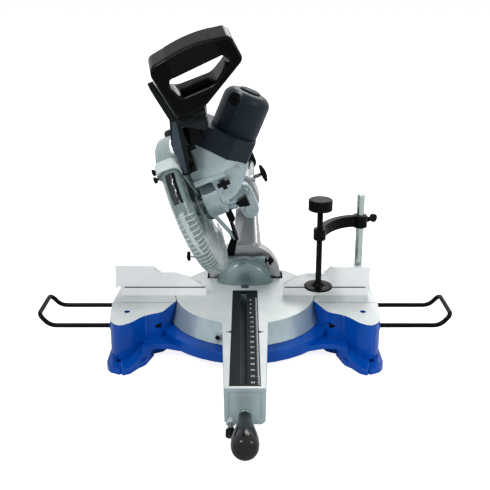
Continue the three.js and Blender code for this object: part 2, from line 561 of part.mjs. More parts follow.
// Base casting: two wings round the turntable's recess, a ring below it with ribs to the pivot, four feet.
function base() {
  const half = ring.ribWidth / 2;
  const ribLong = [ring.hub - ring.ribIn, ringInner + ring.ribOut];
  const rib = box(ribLong, [-half, half], [ring.bottom, top - ring.ribDrop]);
  const angleAt = (i) => ring.firstAngle + (i * 360) / ring.ribs;
  const ribs = Array.from({ length: ring.ribs }, (_, i) => rib.rotate(0, 0, angleAt(i)));
  const floor = alongZ(disc(ringOuter).subtract(disc(ringInner)), ring.bottom, ringTop);
  const hub = alongZ(disc(ring.hub), ring.bottom, top - ring.hubDrop);
  const side = join(rightWing(), rearFoot());
  const cuts = wingCuts();
  return join(floor, ...ribs, side, mirrored(side))
    .subtract(recess())
    .add(hub)
    .subtract(join(cuts, mirrored(cuts)))
    .subtract(rodZ(ring.bottom - overrun, top, 0, 0, ring.bore));
}

// Fence: a fixed lower half on each wing, with the clamp post's boss behind it.
function fixedFence(outer) {
  const low = top + gap.seat;
  const footInner = table.radius + fence.footOut;
  const studFront = fence.face + fence.studStart - 2 * sink;
  const ribAt = (x) => box(
    [x - fence.ribThick / 2, x + fence.ribThick / 2],
    [fence.footBack - fence.lip, fence.footBack],
    [low, low + fence.ribHigh],
  );
  return join(
    box([fence.inner, outer], [fence.face, fenceBack], [low, lowerFenceTop]),
    box([footInner, outer], [fence.face + sink, fence.footBack], [low, low + fence.footThick]),
    rodZ(low, bossTop, postX, post.y, post.boss),
    box([postX - post.web, postX + post.web], [fence.face + sink, post.y], [low, lowerFenceTop]),
    ribAt(footInner + fence.ribFirst),
    ribAt(fenceKnobX + fence.ribSecond),
  )
    .subtract(rodZ(0, bossTop + overrun, postX, post.y, post.radius + gap.run / 2))
    .subtract(rodY(studFront, fence.footBack + overrun, fenceKnobX, fenceKnobZ, fence.stud + gap.run / 2));
}

// The sliding upper half, drawn as distances in from its outer end and shares of its height.
function slidingFence(outer) {
  const f = fence;
  const bottom = fenceSeam + gap.run / 2;
  const rise = top + f.top - bottom;
  const reach = fenceRight - f.inner;
  const profile = [
    [0, 0],
    [0, 1],
    [f.topRun, 1],
    [f.shoulder, f.shelfShare],
    [f.shelf, f.shelfShare],
    [f.dip, f.dipShare],
    [reach, f.toeShare],
    [reach, 0],
  ];
  const plate = drawn(profile.map(([inward, share]) => [outer - inward, bottom + share * rise]));
  const lip = box(
    [table.radius + f.lipOut, postX - post.boss - f.lipEnd],
    [fenceBack - sink, fenceBack + gap.run + f.lip],
    [top + f.lipTop - f.lipHigh, top + f.lipTop],
  );
  const stubHigh = [bottom - f.stubDrop, bottom + f.stubRise];
  const stub = box([outer - f.stubIn, outer + f.stubOut], [f.face, fenceBack], stubHigh);
  const room = box(
    [0, outer + f.stubOut - f.stubSkin],
    [f.face - overrun, fenceBack + overrun],
    [bottom - f.stubDrop - overrun, bottom - gap.run],
  );
  return join(alongY(plate, f.face, fenceBack), lip, stub.subtract(room));
}

// Extension bars: a U of bent rod on each side, its end raised.
function extensionBar() {
  const straightX = wing.reach + bar.straight;
  const endX = wing.reach + bar.end;
  const raised = barZ + bar.rise;
  const points = [
    [barInner, bar.rearY, barZ],
    [straightX, bar.rearY, barZ],
    [endX, bar.rearY, raised],
    [endX, bar.frontY, raised],
    [straightX, bar.frontY, barZ],
    [barInner, bar.frontY, barZ],
  ].map((p) => new THREE.Vector3(...p));
  const path = new THREE.CurvePath();
  let from = points[0];
  for (let i = 1; i < points.length - 1; i++) {
    const [last, here, next] = points.slice(i - 1, i + 2);
    const before = here.clone().add(last.clone().sub(here).setLength(bar.corner));
    const after = here.clone().add(next.clone().sub(here).setLength(bar.corner));
    path.add(new THREE.LineCurve3(from, before));
    path.add(new THREE.QuadraticBezierCurve3(before, here, after));
    from = after;
  }
  path.add(new THREE.LineCurve3(from, points.at(-1)));
  const bendSteps = 4;
  const rings = path.curves.flatMap((curve) => {
    const count = curve.isLineCurve3 ? 1 : bendSteps;
    return Array.from({ length: count }, (_, k) => [curve.getPoint(k / count), curve.getTangent(k / count)]);
  });
  rings.push([points.at(-1), path.curves.at(-1).getTangent(1)]);
  return sweep(rings, bar.radius, 8);
}

// A screw with a lobed grip.
function gripScrew(from, direction, length, radius, gripRadius, gripThick, lobes) {
  const share = { core: 0.72, lobe: 0.36, place: 0.66 };
  const grips = Array.from({ length: lobes }, (_, i) => {
    const angle = (i * 2 * Math.PI) / lobes;
    const out = gripRadius * share.place;
    return disc(gripRadius * share.lobe, out * Math.cos(angle), out * Math.sin(angle));
  });
  const grip = grips.reduce((sum, lobe) => sum.add(lobe), disc(gripRadius * share.core));
  const shank = rodZ(0, length + sink, 0, 0, radius, 12);
  return aimed(shank.add(alongZ(grip, length, length + gripThick)), from, direction);
}

function fenceKnob(side) {
  const from = [side * fenceKnobX, fence.face + fence.studStart, fenceKnobZ];
  const length = fence.footBack - fence.face - fence.studStart + sink;
  return gripScrew(from, [0, 1, 0], length, fence.stud, fence.knobRadius, fence.knobThick, 6);
}

function barScrew(side) {
  const start = bar.rearY + bar.radius;
  const from = [side * barScrewX, start + gap.seat, barZ];
  const length = wing.rear - start + sink;
  return gripScrew(from, [0, 1, 0], length, bar.screwStem, bar.screwHead, bar.screwThick, 4);
}

// Turntable: a shell with a hollow arm below the insert, a hub, and a boss for the tilt pivot at its back.
const armSpread = (arm.backHalf - arm.frontHalf) / (armBack - armFront);
const armHalfAt = (y) => arm.frontHalf + (y - armFront) * armSpread;

function armBody(inset, low, high) {
  const knee = armKneeZ - (inset * arm.kneeInset) / arm.wall;
  const side = drawn([
    [armFront + inset, high],
    [armFront + inset, low],
    [armFront + arm.frontRun, low, arm.kneeRound],
    [armKneeY - arm.kneeRun, knee, arm.kneeRound],
    [armKneeY + arm.kneeRun, knee],
    [-arm.root, knee],
    [-arm.root, high],
  ]);
  const frontHalf = arm.frontHalf - inset;
  const rootHalf = armHalfAt(-arm.root) - inset;
  const plan = drawn([
    [-frontHalf, armFront + inset],
    [frontHalf, armFront + inset],
    [rootHalf, -arm.root],
    [-rootHalf, -arm.root],
  ]);
  return alongZ(plan, low, high).intersect(alongX(side, -far, far));
}

function earSection(extra, low, high) {
  const reach = insert.earReach + extra;
  const half = insert.earLength / 2 + extra;
  const root = insert.half - sink;
  const front = [[-reach, earY], [-root, earY - half], [root, earY - half]];
  const back = [[reach, earY], [root, earY + half], [-root, earY + half]];
  return alongZ(drawn([...front, ...back]), low, high);
}

// The step for the insert and the open throat below it.
function insertRoom() {
  const low = top - insert.thick - gap.seat;
  const half = insert.half + gap.run;
  const throat = insert.half - insert.ledge;
  return join(
    box([-half, half], [insertFront - gap.run, insertBack + gap.run], [low, top + overrun]),
    earSection(gap.run, low, top + overrun),
    box([-throat, throat], [insertFront + insert.ledge, slotBack + 2 * sink], [armKneeZ, low + sink]),
  );
}

// The boss behind the tilting drum, with the pivot bolt's bore.
function pivotBoss() {
  const b = bevel;
  const half = [-b.bossHalf, b.bossHalf];
  const depth = [bossFront, bossBack];
  const block = box(half, depth, [top - b.bossDepth, top + b.bossShoulder]);
  const round = rodY(...depth, 0, top, b.bossTop);
  return block.intersect(round.add(box(half, depth, [0, top])));
}

function turntableCasting() {
  const b = bevel;
  const rim = [table.radius + table.flare, skirtBottom];
  const shell = turned([[0, skirtBottom], rim, ...skirtProfile(0).reverse().slice(1), [0, top]]);
  const under = top - table.plate;
  const inner = skirtProfile(-table.wall).reverse();
  const hollow = turned([
    [0, skirtBottom - overrun],
    [inner[0][0], skirtBottom - overrun],
    ...inner.slice(0, -1),
    [inner.at(-1)[0], under],
    [0, under],
  ]);
  const hub = rodZ(top - table.hubDepth + gap.seat, top - sink, 0, 0, table.hubRadius);
  const armHollow = armBody(arm.wall, armBottom - arm.hollowDrop, under).intersect(
    box([-far, far], [armFront - overrun, -arm.hollowBack], [-far, top]),
  );
  const wellHalf = b.tiltDrum + b.wellSide;
  const wellLong = [tiltFront - b.wellRoom, tiltBack + b.wellRoom];
  const well = box([-wellHalf, wellHalf], wellLong, [0, top + overrun]);
  const panel = box(
    [arm.panelInset - arm.frontHalf, arm.frontHalf - arm.panelInset],
    [armFront - overrun, armFront + arm.panelDepth],
    [armBottom + arm.panelFoot, top - arm.panelInset],
  );
  const chamferZ = armBottom - sink;
  const chamfer = rod(
    [arm.frontHalf + sink, armFront - overrun, chamferZ],
    [arm.frontHalf + arm.chamferOut, armFront + arm.root, chamferZ],
    arm.chamfer,
    4,
  );
  return shell
    .subtract(hollow)
    .add(hub)
    .add(armBody(0, armBottom, top))
    .subtract(armHollow)
    .subtract(insertRoom())
    .subtract(well)
    .add(pivotBoss())
    .subtract(rodY(drumFront - b.boltStart, bossBack + 3 * overrun, 0, top, b.bolt + gap.run / 2))
    .subtract(rodY(drumFront - b.boltRecess, drumFront - sink, 0, top, b.boltHeadRoom))
    .subtract(rodY(armFront - overrun, armFront + mitre.boreIn, 0, mitreZ, mitre.stem + gap.run / 2))
    .subtract(panel)
    .subtract(chamfer.add(mirrored(chamfer)))
    .add(indexHousing())
    .subtract(indexBore());
}

function kerfInsert() {
  const low = top - insert.thick;
  const plate = box([-insert.half, insert.half], [insertFront, insertBack], [low, top]);
  const slot = box([insert.slotLeft, insert.slotRight], [slotFront, slotBack], [0, top + overrun]);
  return plate.add(earSection(0, low, top)).subtract(slot);
}

// The fixed half of the tilt pivot, a half drum with a flared foot and two lugs for the stop screws.
function bevelSupport() {
  const b = bevel;
  const outer = b.flareHalf + b.flareOut;
  const inner = b.flareHalf - b.flareOut;
  const crest = b.drum - b.flareIn;
  const flare = alongY(drawn([
    [-outer, top],
    [outer, top],
    [inner, top + b.flareLow, b.flareRound],
    [crest, top + b.flareTop],
    [-crest, top + b.flareTop],
    [-inner, top + b.flareLow, b.flareRound],
  ]), drumFront + b.flareBack, drumBack + b.flareBack);
  const lugs = stopLug().add(mirrored(stopLug()));
  return rodY(drumFront, drumBack, 0, top, b.drum)
    .add(flare)
    .subtract(rodY(drumFront - overrun, drumFront + b.faceDeep, 0, top, b.drum - b.faceIn))
    .add(rodY(drumFront - b.faceBossFrom, drumFront + b.faceBossTo, 0, top, b.drum - b.faceBossIn))
    .subtract(box([-far, far], [-far, far], [0, top + gap.seat]))
    .add(lugs)
    .subtract(rodY(0, bossFront, 0, top, b.bolt + gap.run / 2))
    .subtract(rodX(-far, far, stopY, stopZ, stop.screw + gap.run / 2));
}

function stopLug() {
  const s = stop;
  const ys = [stopY - s.half, stopY + s.half];
  const block = box([s.near, s.far], ys, [stopZ - s.half, stopZ + s.half]);
  return wrap(block, box([s.footNear, s.footFar], ys, [stopZ - s.footDown, stopZ + s.footUp]));
}

// Tilting arm: a drum behind the support, a leaning column and the housing of the two slide rails.
function tiltArm() {
  const b = bevel;
  const h = housing;
  const n = neck;
  const drum = alongY(sector(0, b.tiltDrum, b.fromAngle, b.toAngle).add(disc(b.low)), tiltFront, tiltBack);
  const groove = rodY(tiltFront - overrun, tiltFront + b.tiltFace, 0, 0, b.tiltDrum - b.faceIn)
    .subtract(rodY(tiltFront - 2 * overrun, tiltFront + b.tiltFace + overrun, 0, 0, b.low - overrun, 20))
    .intersect(box([-far, far], [0, far], [-far, b.tiltFaceTop]));
  const root = wrap(
    rodY(tiltFront + n.lowIn, tiltBack, n.left, n.lowZ, n.radius),
    rodY(tiltFront + n.lowIn, tiltBack, n.right, n.lowZ, n.radius),
    rodY(tiltFront + n.highIn, tiltBack, n.highLeft, n.highZ, n.radius),
    rodY(tiltFront + n.highIn, tiltBack, n.right, n.highZ, n.radius),
  );
  const column = wrap(
    root,
    rodY(h.front + n.frontIn, h.back - n.middleBack, n.middleX, n.middleZ, n.middleRadius),
    rodY(h.front + n.frontIn, h.back - n.sideBack, rail.x, n.sideZ, n.sideRadius),
  );
  const bearing = wrap(...railLine.map((z) => rodY(h.front, h.back, rail.x, z, h.radius)));
  const boss = rodX(rail.x, lock.face, lock.y, rail.upper, lock.boss);
  const boreAt = (z) => rodY(h.front - overrun, h.back + overrun, rail.x, z, rail.bush + gap.seat);
  return join(drum.subtract(groove), column, bearing, boss)
    .subtract(join(...railLine.map(boreAt)))
    .subtract(rodX(rail.x, lock.face + overrun, lock.y, rail.upper, lock.stem + gap.run / 2))
    .subtract(rodY(0, bossBack, 0, 0, b.bolt + gap.run / 2));
}

function bush(z) {
  const h = housing;
  const outside = rodY(h.front + h.bushIn, h.back - h.bushIn, rail.x, z, rail.bush);
  return outside.subtract(rodY(h.front - overrun, h.back + overrun, rail.x, z, rail.radius + gap.run / 2));
}

function slideRail(z) {
  const outside = rodY(rail.front, rail.back - rail.endPlate + rail.endDepth, rail.x, z, rail.radius);
  return outside.subtract(rodY(rail.front - overrun, rail.back, rail.x, z, rail.radius - rail.wall));
}

function railEndPlate() {
  const start = rail.back - rail.endPlate;
  const plate = wrap(...railLine.map((z) => rodY(start, rail.back, rail.x, z, rail.endRadius)));
  const deep = start + rail.endDepth + gap.seat;
  const boreAt = (z) => rodY(start - overrun, deep, rail.x, z, rail.radius + gap.seat);
  return plate.subtract(join(...railLine.map(boreAt)));
}

// Stop bracket on the tilting drum's face, with its two bolts.
function stopBracket() {
  const s = bracket;
  const back = tiltFront - gap.seat;
  const front = back - s.thick;
  const plate = wrap(rodY(front, back, s.lowX, s.lowZ, s.low), rodY(front, back, s.highX, s.highZ, s.high));
  const lowBolt = rodY(front - s.lowProud, front + sink, s.lowX, s.lowZ, s.lowHead, 6);
  const highBolt = rodY(front - s.highProud, front + sink, s.highX, s.highZ, s.highHead, 6);
  return join(plate, lowBolt, highBolt);
}

// Carriage on the rails' front ends, with the two cheeks that hold the head's pivot.
function carriageCasting() {
  const c = carriage;
  const under = c.floorTop - c.floorThick;
  const outer = c.right + c.rightThick;
  const plate = wrap(...railLine.map((z) => rodY(c.front, c.back, rail.x, z, c.radius)));
  const rightCheek = alongX(drawn([
    [c.front, c.frontLow, c.footRound],
    [c.front, c.frontHigh, c.frontRound],
    [c.shoulderY, c.top, c.shoulderRound],
    [c.cheekBack, c.top, c.backRound],
    [c.cheekBack, under, c.footRound],
    [c.kneeY, under, c.kneeRound],
  ]), c.right, outer);
  const leftCheek = alongX(drawn([
    [c.leftKneeY, under, c.kneeRound],
    [c.leftFrontY, c.pivotZ, c.leftFrontRound],
    [c.leftKneeY, c.top, c.leftRound],
    [c.cheekBack, c.top, c.backRound],
    [c.cheekBack, under, c.footRound],
  ]), c.left, c.left + c.leftThick);
  const bridge = box([c.right, rail.x], [c.front, c.back], [c.bridgeLow, c.bridgeHigh]);
  const floor = box([c.left, outer], [c.floorFront, c.cheekBack], [under, c.floorTop]);
  const boreAt = (z) => rodY(c.front - overrun, c.back + overrun, rail.x, z, rail.radius + gap.seat);
  return join(plate, rightCheek, bridge, floor, leftCheek)
    .subtract(join(...railLine.map(boreAt)))
    .subtract(rodX(c.left - overrun, outer + overrun, c.pivotY, c.pivotZ, c.pin + gap.seat));
}

function pivotPin() {
  const c = carriage;
  const pin = rodX(c.left - c.pinLeft, c.right + c.rightThick + c.pinRight, c.pivotY, c.pivotZ, c.pin);
  return pin.add(rodX(c.left - c.pinHeadOut, c.left - gap.seat, c.pivotY, c.pivotZ, c.pinHead, 6));
}

// Anchor of the guard link, hung below the carriage's front.
function linkAnchor() {
  const l = link;
  const near = l.left + l.thick + gap.run;
  const outer = near + l.anchorThick;
  const low = anchorTop - l.shelfThick;
  const hanger = alongX(drawn([
    [l.anchorY - l.anchorHalf, l.anchorZ - l.anchorHalf, l.anchorLow],
    [l.anchorY + l.anchorHalf, l.anchorZ - l.anchorHalf, l.anchorLow],
    [l.bendY, l.bendZ, l.bendRound],
    [l.rootBack, anchorTop, l.rootRound],
    [l.rootFront, anchorTop, l.rootRound],
    [l.anchorY - l.anchorHalf, l.anchorZ + l.anchorRise, l.anchorTop],
  ]), near, outer);
  return join(
    hanger,
    box([near, outer + l.shelfOut], [l.shelfFront, l.shelfBack], [low, anchorTop]),
    box([near, outer], [l.rootFront, l.bridgeBack], [low, anchorTop]),
    rodX(l.left - l.boltIn, near + sink, l.anchorY, l.anchorZ, l.pin),
    rodX(l.left - l.boltHeadIn, l.left - gap.run, l.anchorY, l.anchorZ, l.boltHead, 6),
  );
}

function guardLink() {
  const l = link;
  const outer = l.left + l.thick;
  const plan = CrossSection.hull([disc(l.half, l.anchorY, l.anchorZ), disc(l.freeHalf, l.freeY, l.freeZ)]);
  return alongX(plan, l.left, outer)
    .add(rodX(lower.right + gap.seat, outer + sink, l.freeY, l.freeZ, l.freePin))
    .subtract(rodX(l.left - overrun, outer + overrun, l.anchorY, l.anchorZ, l.pin + gap.run / 2));
}

// The outline that the gear case shares with the motor's collar, across the motor's axis.
const casingSection = () => drawn([
  [casing.low, casing.lowFront, casing.lowRound],
  [casing.noseQ, casing.front, casing.noseRound],
  [casing.sideQ, casing.sideFront, casing.sideRound],
  [casing.high, casing.sideBack, casing.backRound],
  [casing.backQ, casing.back, casing.backRound],
  [casing.low, casing.back, casing.cornerRound],
]);

// The arm from the gear case back to the head's pivot, seen from the side.
const rearArmSection = () => drawn([
  [rear.endY, rear.endZ, rear.endRound],
  [rear.topY, rear.topZ, rear.topRound],
  [rear.backY, rear.backZ, rear.humpRound],
  [rear.humpY, rear.humpZ, rear.humpRound],
  [rear.frontY, rear.frontTop],
  [rear.frontY, rear.frontLow],
  [rear.bellyY, rear.bellyZ, rear.bellyRound],
  [rear.waistY, rear.waistZ, rear.bellyRound],
  [rear.kneeY, rear.kneeZ, rear.topRound],
  [rear.neckY, rear.neckZ, rear.neckRound],
  [rear.heelY, rear.heelZ, rear.neckRound],
]);

// A cut along the latch's pin, past both ends of its boss.
const latchRun = [latch.bossFrom - overrun, latch.bossTo + overrun];
const alongLatch = (radius) => rodX(...latchRun, latch.y, latch.z, radius);

// Gear case: the slanted block under the motor, its hub, the pivot arm and a boss for the latch pin.
function gearCase() {
  const h = head;
  const shell = alongMotor(casingSection().offset(-casing.step, "Miter"), casing.from, casing.to);
  const upper = shell.intersect(box([h.left, far], [-far, far], [casing.cutLow, far]));
  const front = alongY(drawn([
    [h.left, block.lowZ, block.lowRound],
    [h.left, block.highZ, block.highRound],
    [block.shoulderX, block.shoulderZ],
    [block.slopeX, block.slopeZ],
    [block.noseX, block.noseZ, block.noseRound],
    [block.chinX, block.chinZ, block.chinRound],
    [block.jawX, block.jawZ, block.jawRound],
    [block.throatX, block.throatZ],
    [block.rootX, block.rootZ],
  ]), block.front, block.back);
  const webDeep = [latch.y - latch.webHalf, latch.y + latch.webHalf];
  const pinBore = carriage.pin + gap.run / 2;
  const body = join(
    upper,
    front,
    box([h.left, h.ledgeRight], [h.ledgeFront, h.ledgeBack], [h.ledgeLow, h.ledgeHigh]),
    rodX(h.left, h.hubRight, h.arborY, h.arborZ, h.hub),
    rodX(h.hubRight - sink, h.capRight, h.arborY, h.arborZ + h.capRise, h.cap),
    alongX(rearArmSection(), h.left, h.right),
    rodX(h.knuckleLeft, h.right, carriage.pivotY, carriage.pivotZ, h.knuckle),
    rodX(latch.bossFrom, latch.bossTo, latch.y, latch.z, latch.boss),
    box([latch.bossFrom, h.right], webDeep, [latch.z, latch.webTop]),
  );
  return body
    .subtract(alongMotor(disc(casing.cutRadius), casing.to, far))
    .subtract(rodX(h.knuckleLeft - overrun, h.right + overrun, carriage.pivotY, carriage.pivotZ, pinBore))
    .subtract(alongLatch(latch.pin + gap.run / 2))
    .subtract(rodX(h.wellLeft, h.wellRight, h.arborY, h.arborZ, blade.shaft + gap.run / 2))
    .subtract(rodY(spindle.boreFront, spindle.boreBack, spindle.x, spindle.z, spindle.stem + gap.run / 2));
}

function latchKnob() {
  const l = latch;
  const grip = alongY(drawn([
    [l.knobFrom, l.z - l.near, l.nearRound],
    [l.knobTo, l.z - l.wide, l.wideRound],
    [l.knobTo, l.z + l.wide, l.wideRound],
    [l.knobFrom, l.z + l.near, l.nearRound],
  ]), l.y - l.half, l.y + l.half);
  return grip.add(rodX(l.pinFrom, l.knobFrom + sink, l.y, l.z, l.pin));
}

// Depth stop, clipped round the latch's boss.
function depthStop() {
  const d = depth;
  const deep = [latch.y - d.front, latch.y - d.back];
  const lump = box([d.left, d.right], deep, [latch.z - d.low, latch.z - d.high]);
  const screw = rodZ(latch.z - d.screwLow, latch.z - d.screwHigh, d.screwX, latch.y - d.screwY, d.screw, 6);
  return lump.add(screw).subtract(alongLatch(latch.boss + gap.seat));
}

function spindleButton() {
  const s = spindle;
  const ys = [s.front, s.front + s.thick];
  return join(
    rodY(s.stemEnd, s.front + sink, s.x, s.z, s.stem),
    box([s.x - s.head, s.x + s.head], ys, [s.z - s.half, s.z + s.half]),
    box([s.x - s.half, s.x + s.half], ys, [s.z - s.down, s.z + s.up]),
  );
}

// Motor: the dark collar on the gear case, the round housing with its strip and vents, and its screwed end.
function motorCollar() {
  const m = motor;
  const bore = alongMotor(disc(m.collarBore, m.q, m.y), m.collarFrom - overrun, m.collarFrom + m.collarDeep);
  return alongMotor(casingSection(), m.collarFrom, m.collarTo).subtract(bore);
}

// A rod across the motor at its brushes, from one distance off its axis to another.
function brushRod(side, near, outer, radius, steps) {
  const ends = [near, outer].map((reach) => motor.y + side * reach);
  return turn(rodY(...ends, motor.q, motor.brushAt, radius, steps), motorAxes);
}

function motorHousing() {
  const m = motor;
  const from = m.collarTo + gap.seat;
  const long = m.end - from;
  const roundSteps = 4;
  const edge = Array.from({ length: roundSteps }, (_, i) => {
    const angle = ((i + 1) * Math.PI) / (2 * roundSteps);
    return [m.radius - m.round * (1 - Math.cos(angle)), long - m.round * (1 - Math.sin(angle))];
  });
  const side = [[m.radius, 0], [m.radius, long - m.round]];
  const can = turned([[0, 0], ...side, ...edge, [0, long]], 32).translate(m.q, m.y, from);
  const proud = m.y - m.radius - m.stripProud;
  const strip = alongZ(drawn([
    [m.q - m.stripHalf, m.y],
    [m.q + m.stripHalf, m.y],
    [m.q + m.stripHalf, proud, m.stripRound],
    [m.q - m.stripHalf, proud, m.stripRound],
  ]), from, m.end - m.stripShort);
  const ventDeep = [m.q + m.radius - m.ventIn, m.q + m.radius + m.ventOut];
  const vents = Array.from({ length: m.vents }, (_, i) => {
    const y = m.y + m.ventFirst + i * m.ventPitch;
    return box(ventDeep, [y, y + m.ventWide], [from + m.ventFrom, from + m.ventTo]);
  });
  const roomAt = (way) => brushRod(way, m.radius - m.brushDeep, m.radius + m.brushOut, m.brush + gap.seat);
  return turn(can.add(strip).subtract(join(...vents)), motorAxes).subtract(join(roomAt(1), roomAt(-1)));
}

function brushCap(side, proud) {
  const m = motor;
  const cap = brushRod(side, m.radius - m.brushDeep + gap.seat, m.radius + proud, m.brush);
  return cap.subtract(brushRod(side, m.radius - m.slotDeep, m.radius + m.brushOut, m.slot, 6));
}

function motorEndCap() {
  const from = motor.end + gap.seat;
  return alongMotor(disc(motor.capRadius, motor.q, motor.y), from, from + motor.capThick);
}

// A section about the blade's axis, carried across the saw.
const onArbor = (flat, left, right) => alongX(flat.translate(head.arborY, head.arborZ), left, right);

// Fixed guard: a ribbed rim and two side plates over the blade's upper half.
function upperGuard() {
  const g = guard;
  const shell = onArbor(sector(0, guardOuter, g.fromAngle, g.toAngle), g.left, g.right);
  const inside = onArbor(disc(guardOuter - g.skin), g.left + g.skin, g.right - g.skin);
  const window = sector(0, guardOuter - g.rim, g.fromAngle - g.openAngle, g.toAngle + g.openAngle);
  const rib = sector(guardOuter - g.rootIn, guardOuter + g.rib, g.fromAngle, g.toAngle - g.collarAngle / 2);
  const ribs = Array.from({ length: g.ribs }, (_, i) => {
    const x = g.firstRib + i * g.ribPitch;
    return onArbor(rib, x - g.ribHalf, x + g.ribHalf);
  });
  const band = (inner) => sector(inner, guardOuter + g.collar, g.toAngle - g.collarAngle, g.toAngle);
  return shell
    .subtract(inside)
    .subtract(onArbor(disc(g.hub), g.right - g.skin - overrun, g.right + overrun))
    .subtract(onArbor(window, g.left - overrun, g.left + g.skin + sink))
    .add(join(...ribs))
    .add(onArbor(band(guardOuter - g.rootIn), g.left - g.collarLeft, g.right + g.collarRight))
    .add(onArbor(band(guardOuter - g.collarDeep), g.left - g.collarLeft, g.left + sink))
    .subtract(onArbor(sector(0, g.hollow, -180, 0), g.right - g.hollowDeep, g.right + overrun));
}

function lowerGuard() {
  const l = lower;
  const shell = onArbor(sector(l.rimInner, lowerOuter, l.fromAngle, l.toAngle), l.left, l.right);
  const inside = onArbor(disc(lowerOuter - l.skin), l.left + l.skin, l.right - l.skin);
  const web = sector(l.hubInner, l.rimInner + sink, l.spokeFromAngle, l.spokeToAngle);
  const spoke = web.add(disc(l.hubOuter)).subtract(disc(l.hubInner));
  const step = (l.toAngle - l.fromAngle) / l.ribs;
  const inner = lowerOuter - l.skin;
  const ribs = Array.from({ length: l.ribs }, (_, i) => {
    const from = l.fromAngle + (i + 0.5) * step;
    const rib = sector(inner - l.ribHeight, inner + l.ribRoot, from, from + l.ribAngle);
    return onArbor(rib, l.left + sink, l.right - sink);
  });
  return join(shell.subtract(inside), onArbor(spoke, l.right - l.skin, l.right), ...ribs);
}

// Blade, flanges and shaft on the arbor's axis.
function sawBlade() {
  const b = blade;
  const tooth = [[0, 0], [b.faceShare, b.toothFace], [b.gulletShare, b.toothDepth]];
  const points = Array.from({ length: b.teeth }, (_, i) => tooth.map(([share, drop]) => {
    const angle = ((i + share) * 2 * Math.PI) / b.teeth;
    return [(b.radius - drop) * Math.cos(angle), (b.radius - drop) * Math.sin(angle)];
  })).flat();
  return onArbor(new CrossSection([points], "NonZero").subtract(disc(b.bore)), b.left, b.right);
}

function outerFlange() {
  const right = blade.left - gap.seat;
  return onArbor(disc(blade.flange).subtract(disc(blade.shaft + gap.seat)), right - blade.flangeThick, right);
}

function arborShaft() {
  const b = blade;
  const inner = b.right + gap.seat;
  return join(
    onArbor(CrossSection.circle(b.boltHead, 6), b.boltLeft, b.boltLeft + b.boltThick),
    onArbor(disc(b.shaft), b.shaftLeft, b.shaftRight),
    onArbor(disc(b.flange), inner, inner + b.flangeThick),
  );
}

// Dust port, a pipe that stands on the upper guard's rim and leans back.
function dustPort() {
  const d = dust;
  const reach = guardOuter - d.inward;
  const angle = d.atAngle * degree;
  const place = [d.x, head.arborY + reach * Math.cos(angle), head.arborZ + reach * Math.sin(angle)];
  const axis = [0, Math.cos(d.riseAngle * degree), Math.sin(d.riseAngle * degree)];
  const bore = rodZ(d.floor, d.length + overrun, 0, 0, d.inner, 22);
  const pipe = rodZ(0, d.length, 0, 0, d.outer, 22).subtract(bore);
  const rim = rodX(-far, far, head.arborY, head.arborZ, guardOuter + guard.rib + gap.seat, 60);
  return aimed(pipe, place, axis).subtract(rim);
}

// D-handle: a closed loop across the saw on a raked stem, with the trigger behind its grip.
function dHandle() {
  const h = handle;
  const t = trigger;
  const outer = drawn([
    [h.leftLow, h.leftLowZ, h.sharp],
    [h.leftX, h.leftZ, h.corner],
    [h.crownX, h.crownZ, h.crown],
    [h.rightX, h.rightZ, h.corner],
    [h.endX, h.endZ, h.sharp],
    [h.footRight, h.footRightZ, h.corner],
    [h.footLeft, h.footLeftZ, h.corner],
  ]);
  const hole = drawn([
    [h.holeLeft, h.holeLeftZ, h.holeRound],
    [h.holeTopX, h.holeTopZ, h.holeRound],
    [h.holeRightX, h.holeRightZ, h.sharp],
    [h.holeEndX, h.holeEndZ, h.sharp],
    [h.holeLowX, h.holeLowZ, h.sharp],
    [h.holeBackX, h.holeLowZ, h.corner],
  ]);
  const stem = wrap(
    box([h.footLeft, h.stemRight], [h.front + h.stemIn, h.back], [h.stemLow, h.stemHigh]),
    box([h.rootLeft, h.rootRight], [h.rootFront, h.rootBack], [h.rootLow, h.rootHigh]),
  );
  const belowMotor = alongMotor(disc(far), -far, motor.collarTo + gap.seat);
  const pocket = box(
    [t.left - gap.run, t.right + gap.run],
    [h.back - t.deep - t.room, h.back + overrun],
    [t.low - gap.run, t.high + gap.run],
  );
  return join(
    alongY(outer.subtract(hole), h.front, h.back),
    stem,
    box([h.footFrom, h.footTo], [h.rootFront, h.footBack], [h.footLow, h.footHigh]),
    rodX(h.pipeFrom, h.pipeTo, h.pipeY, h.footHigh, h.pipe),
  ).subtract(belowMotor).subtract(pocket);
}

function triggerPaddle() {
  const deep = [handle.back - trigger.deep, handle.back + trigger.proud];
  return box([trigger.left, trigger.right], deep, [trigger.low, trigger.high]);
}

// Guard lever: a bent strip with a thumb pad, pivoted on a boss at the gear case's front.
function guardLever() {
  const l = lever;
  const at = (place) => box([place.left, place.right], [place.front, place.back], [place.bottom, place.top]);
  const stations = [l.low, l.middle, l.high, l.thumb, l.tip].map(at);
  const strips = stations.slice(1).map((station, i) => wrap(stations[i], station));
  const root = wrap(stations[0], rodX(l.from, l.to, l.y, l.z, l.root));
  const bore = rodX(l.from - overrun, l.to + overrun, l.y, l.z, l.pin + gap.run / 2);
  return join(...strips, rodX(l.from, l.to, l.y, l.z, l.eye), root).subtract(bore);
}

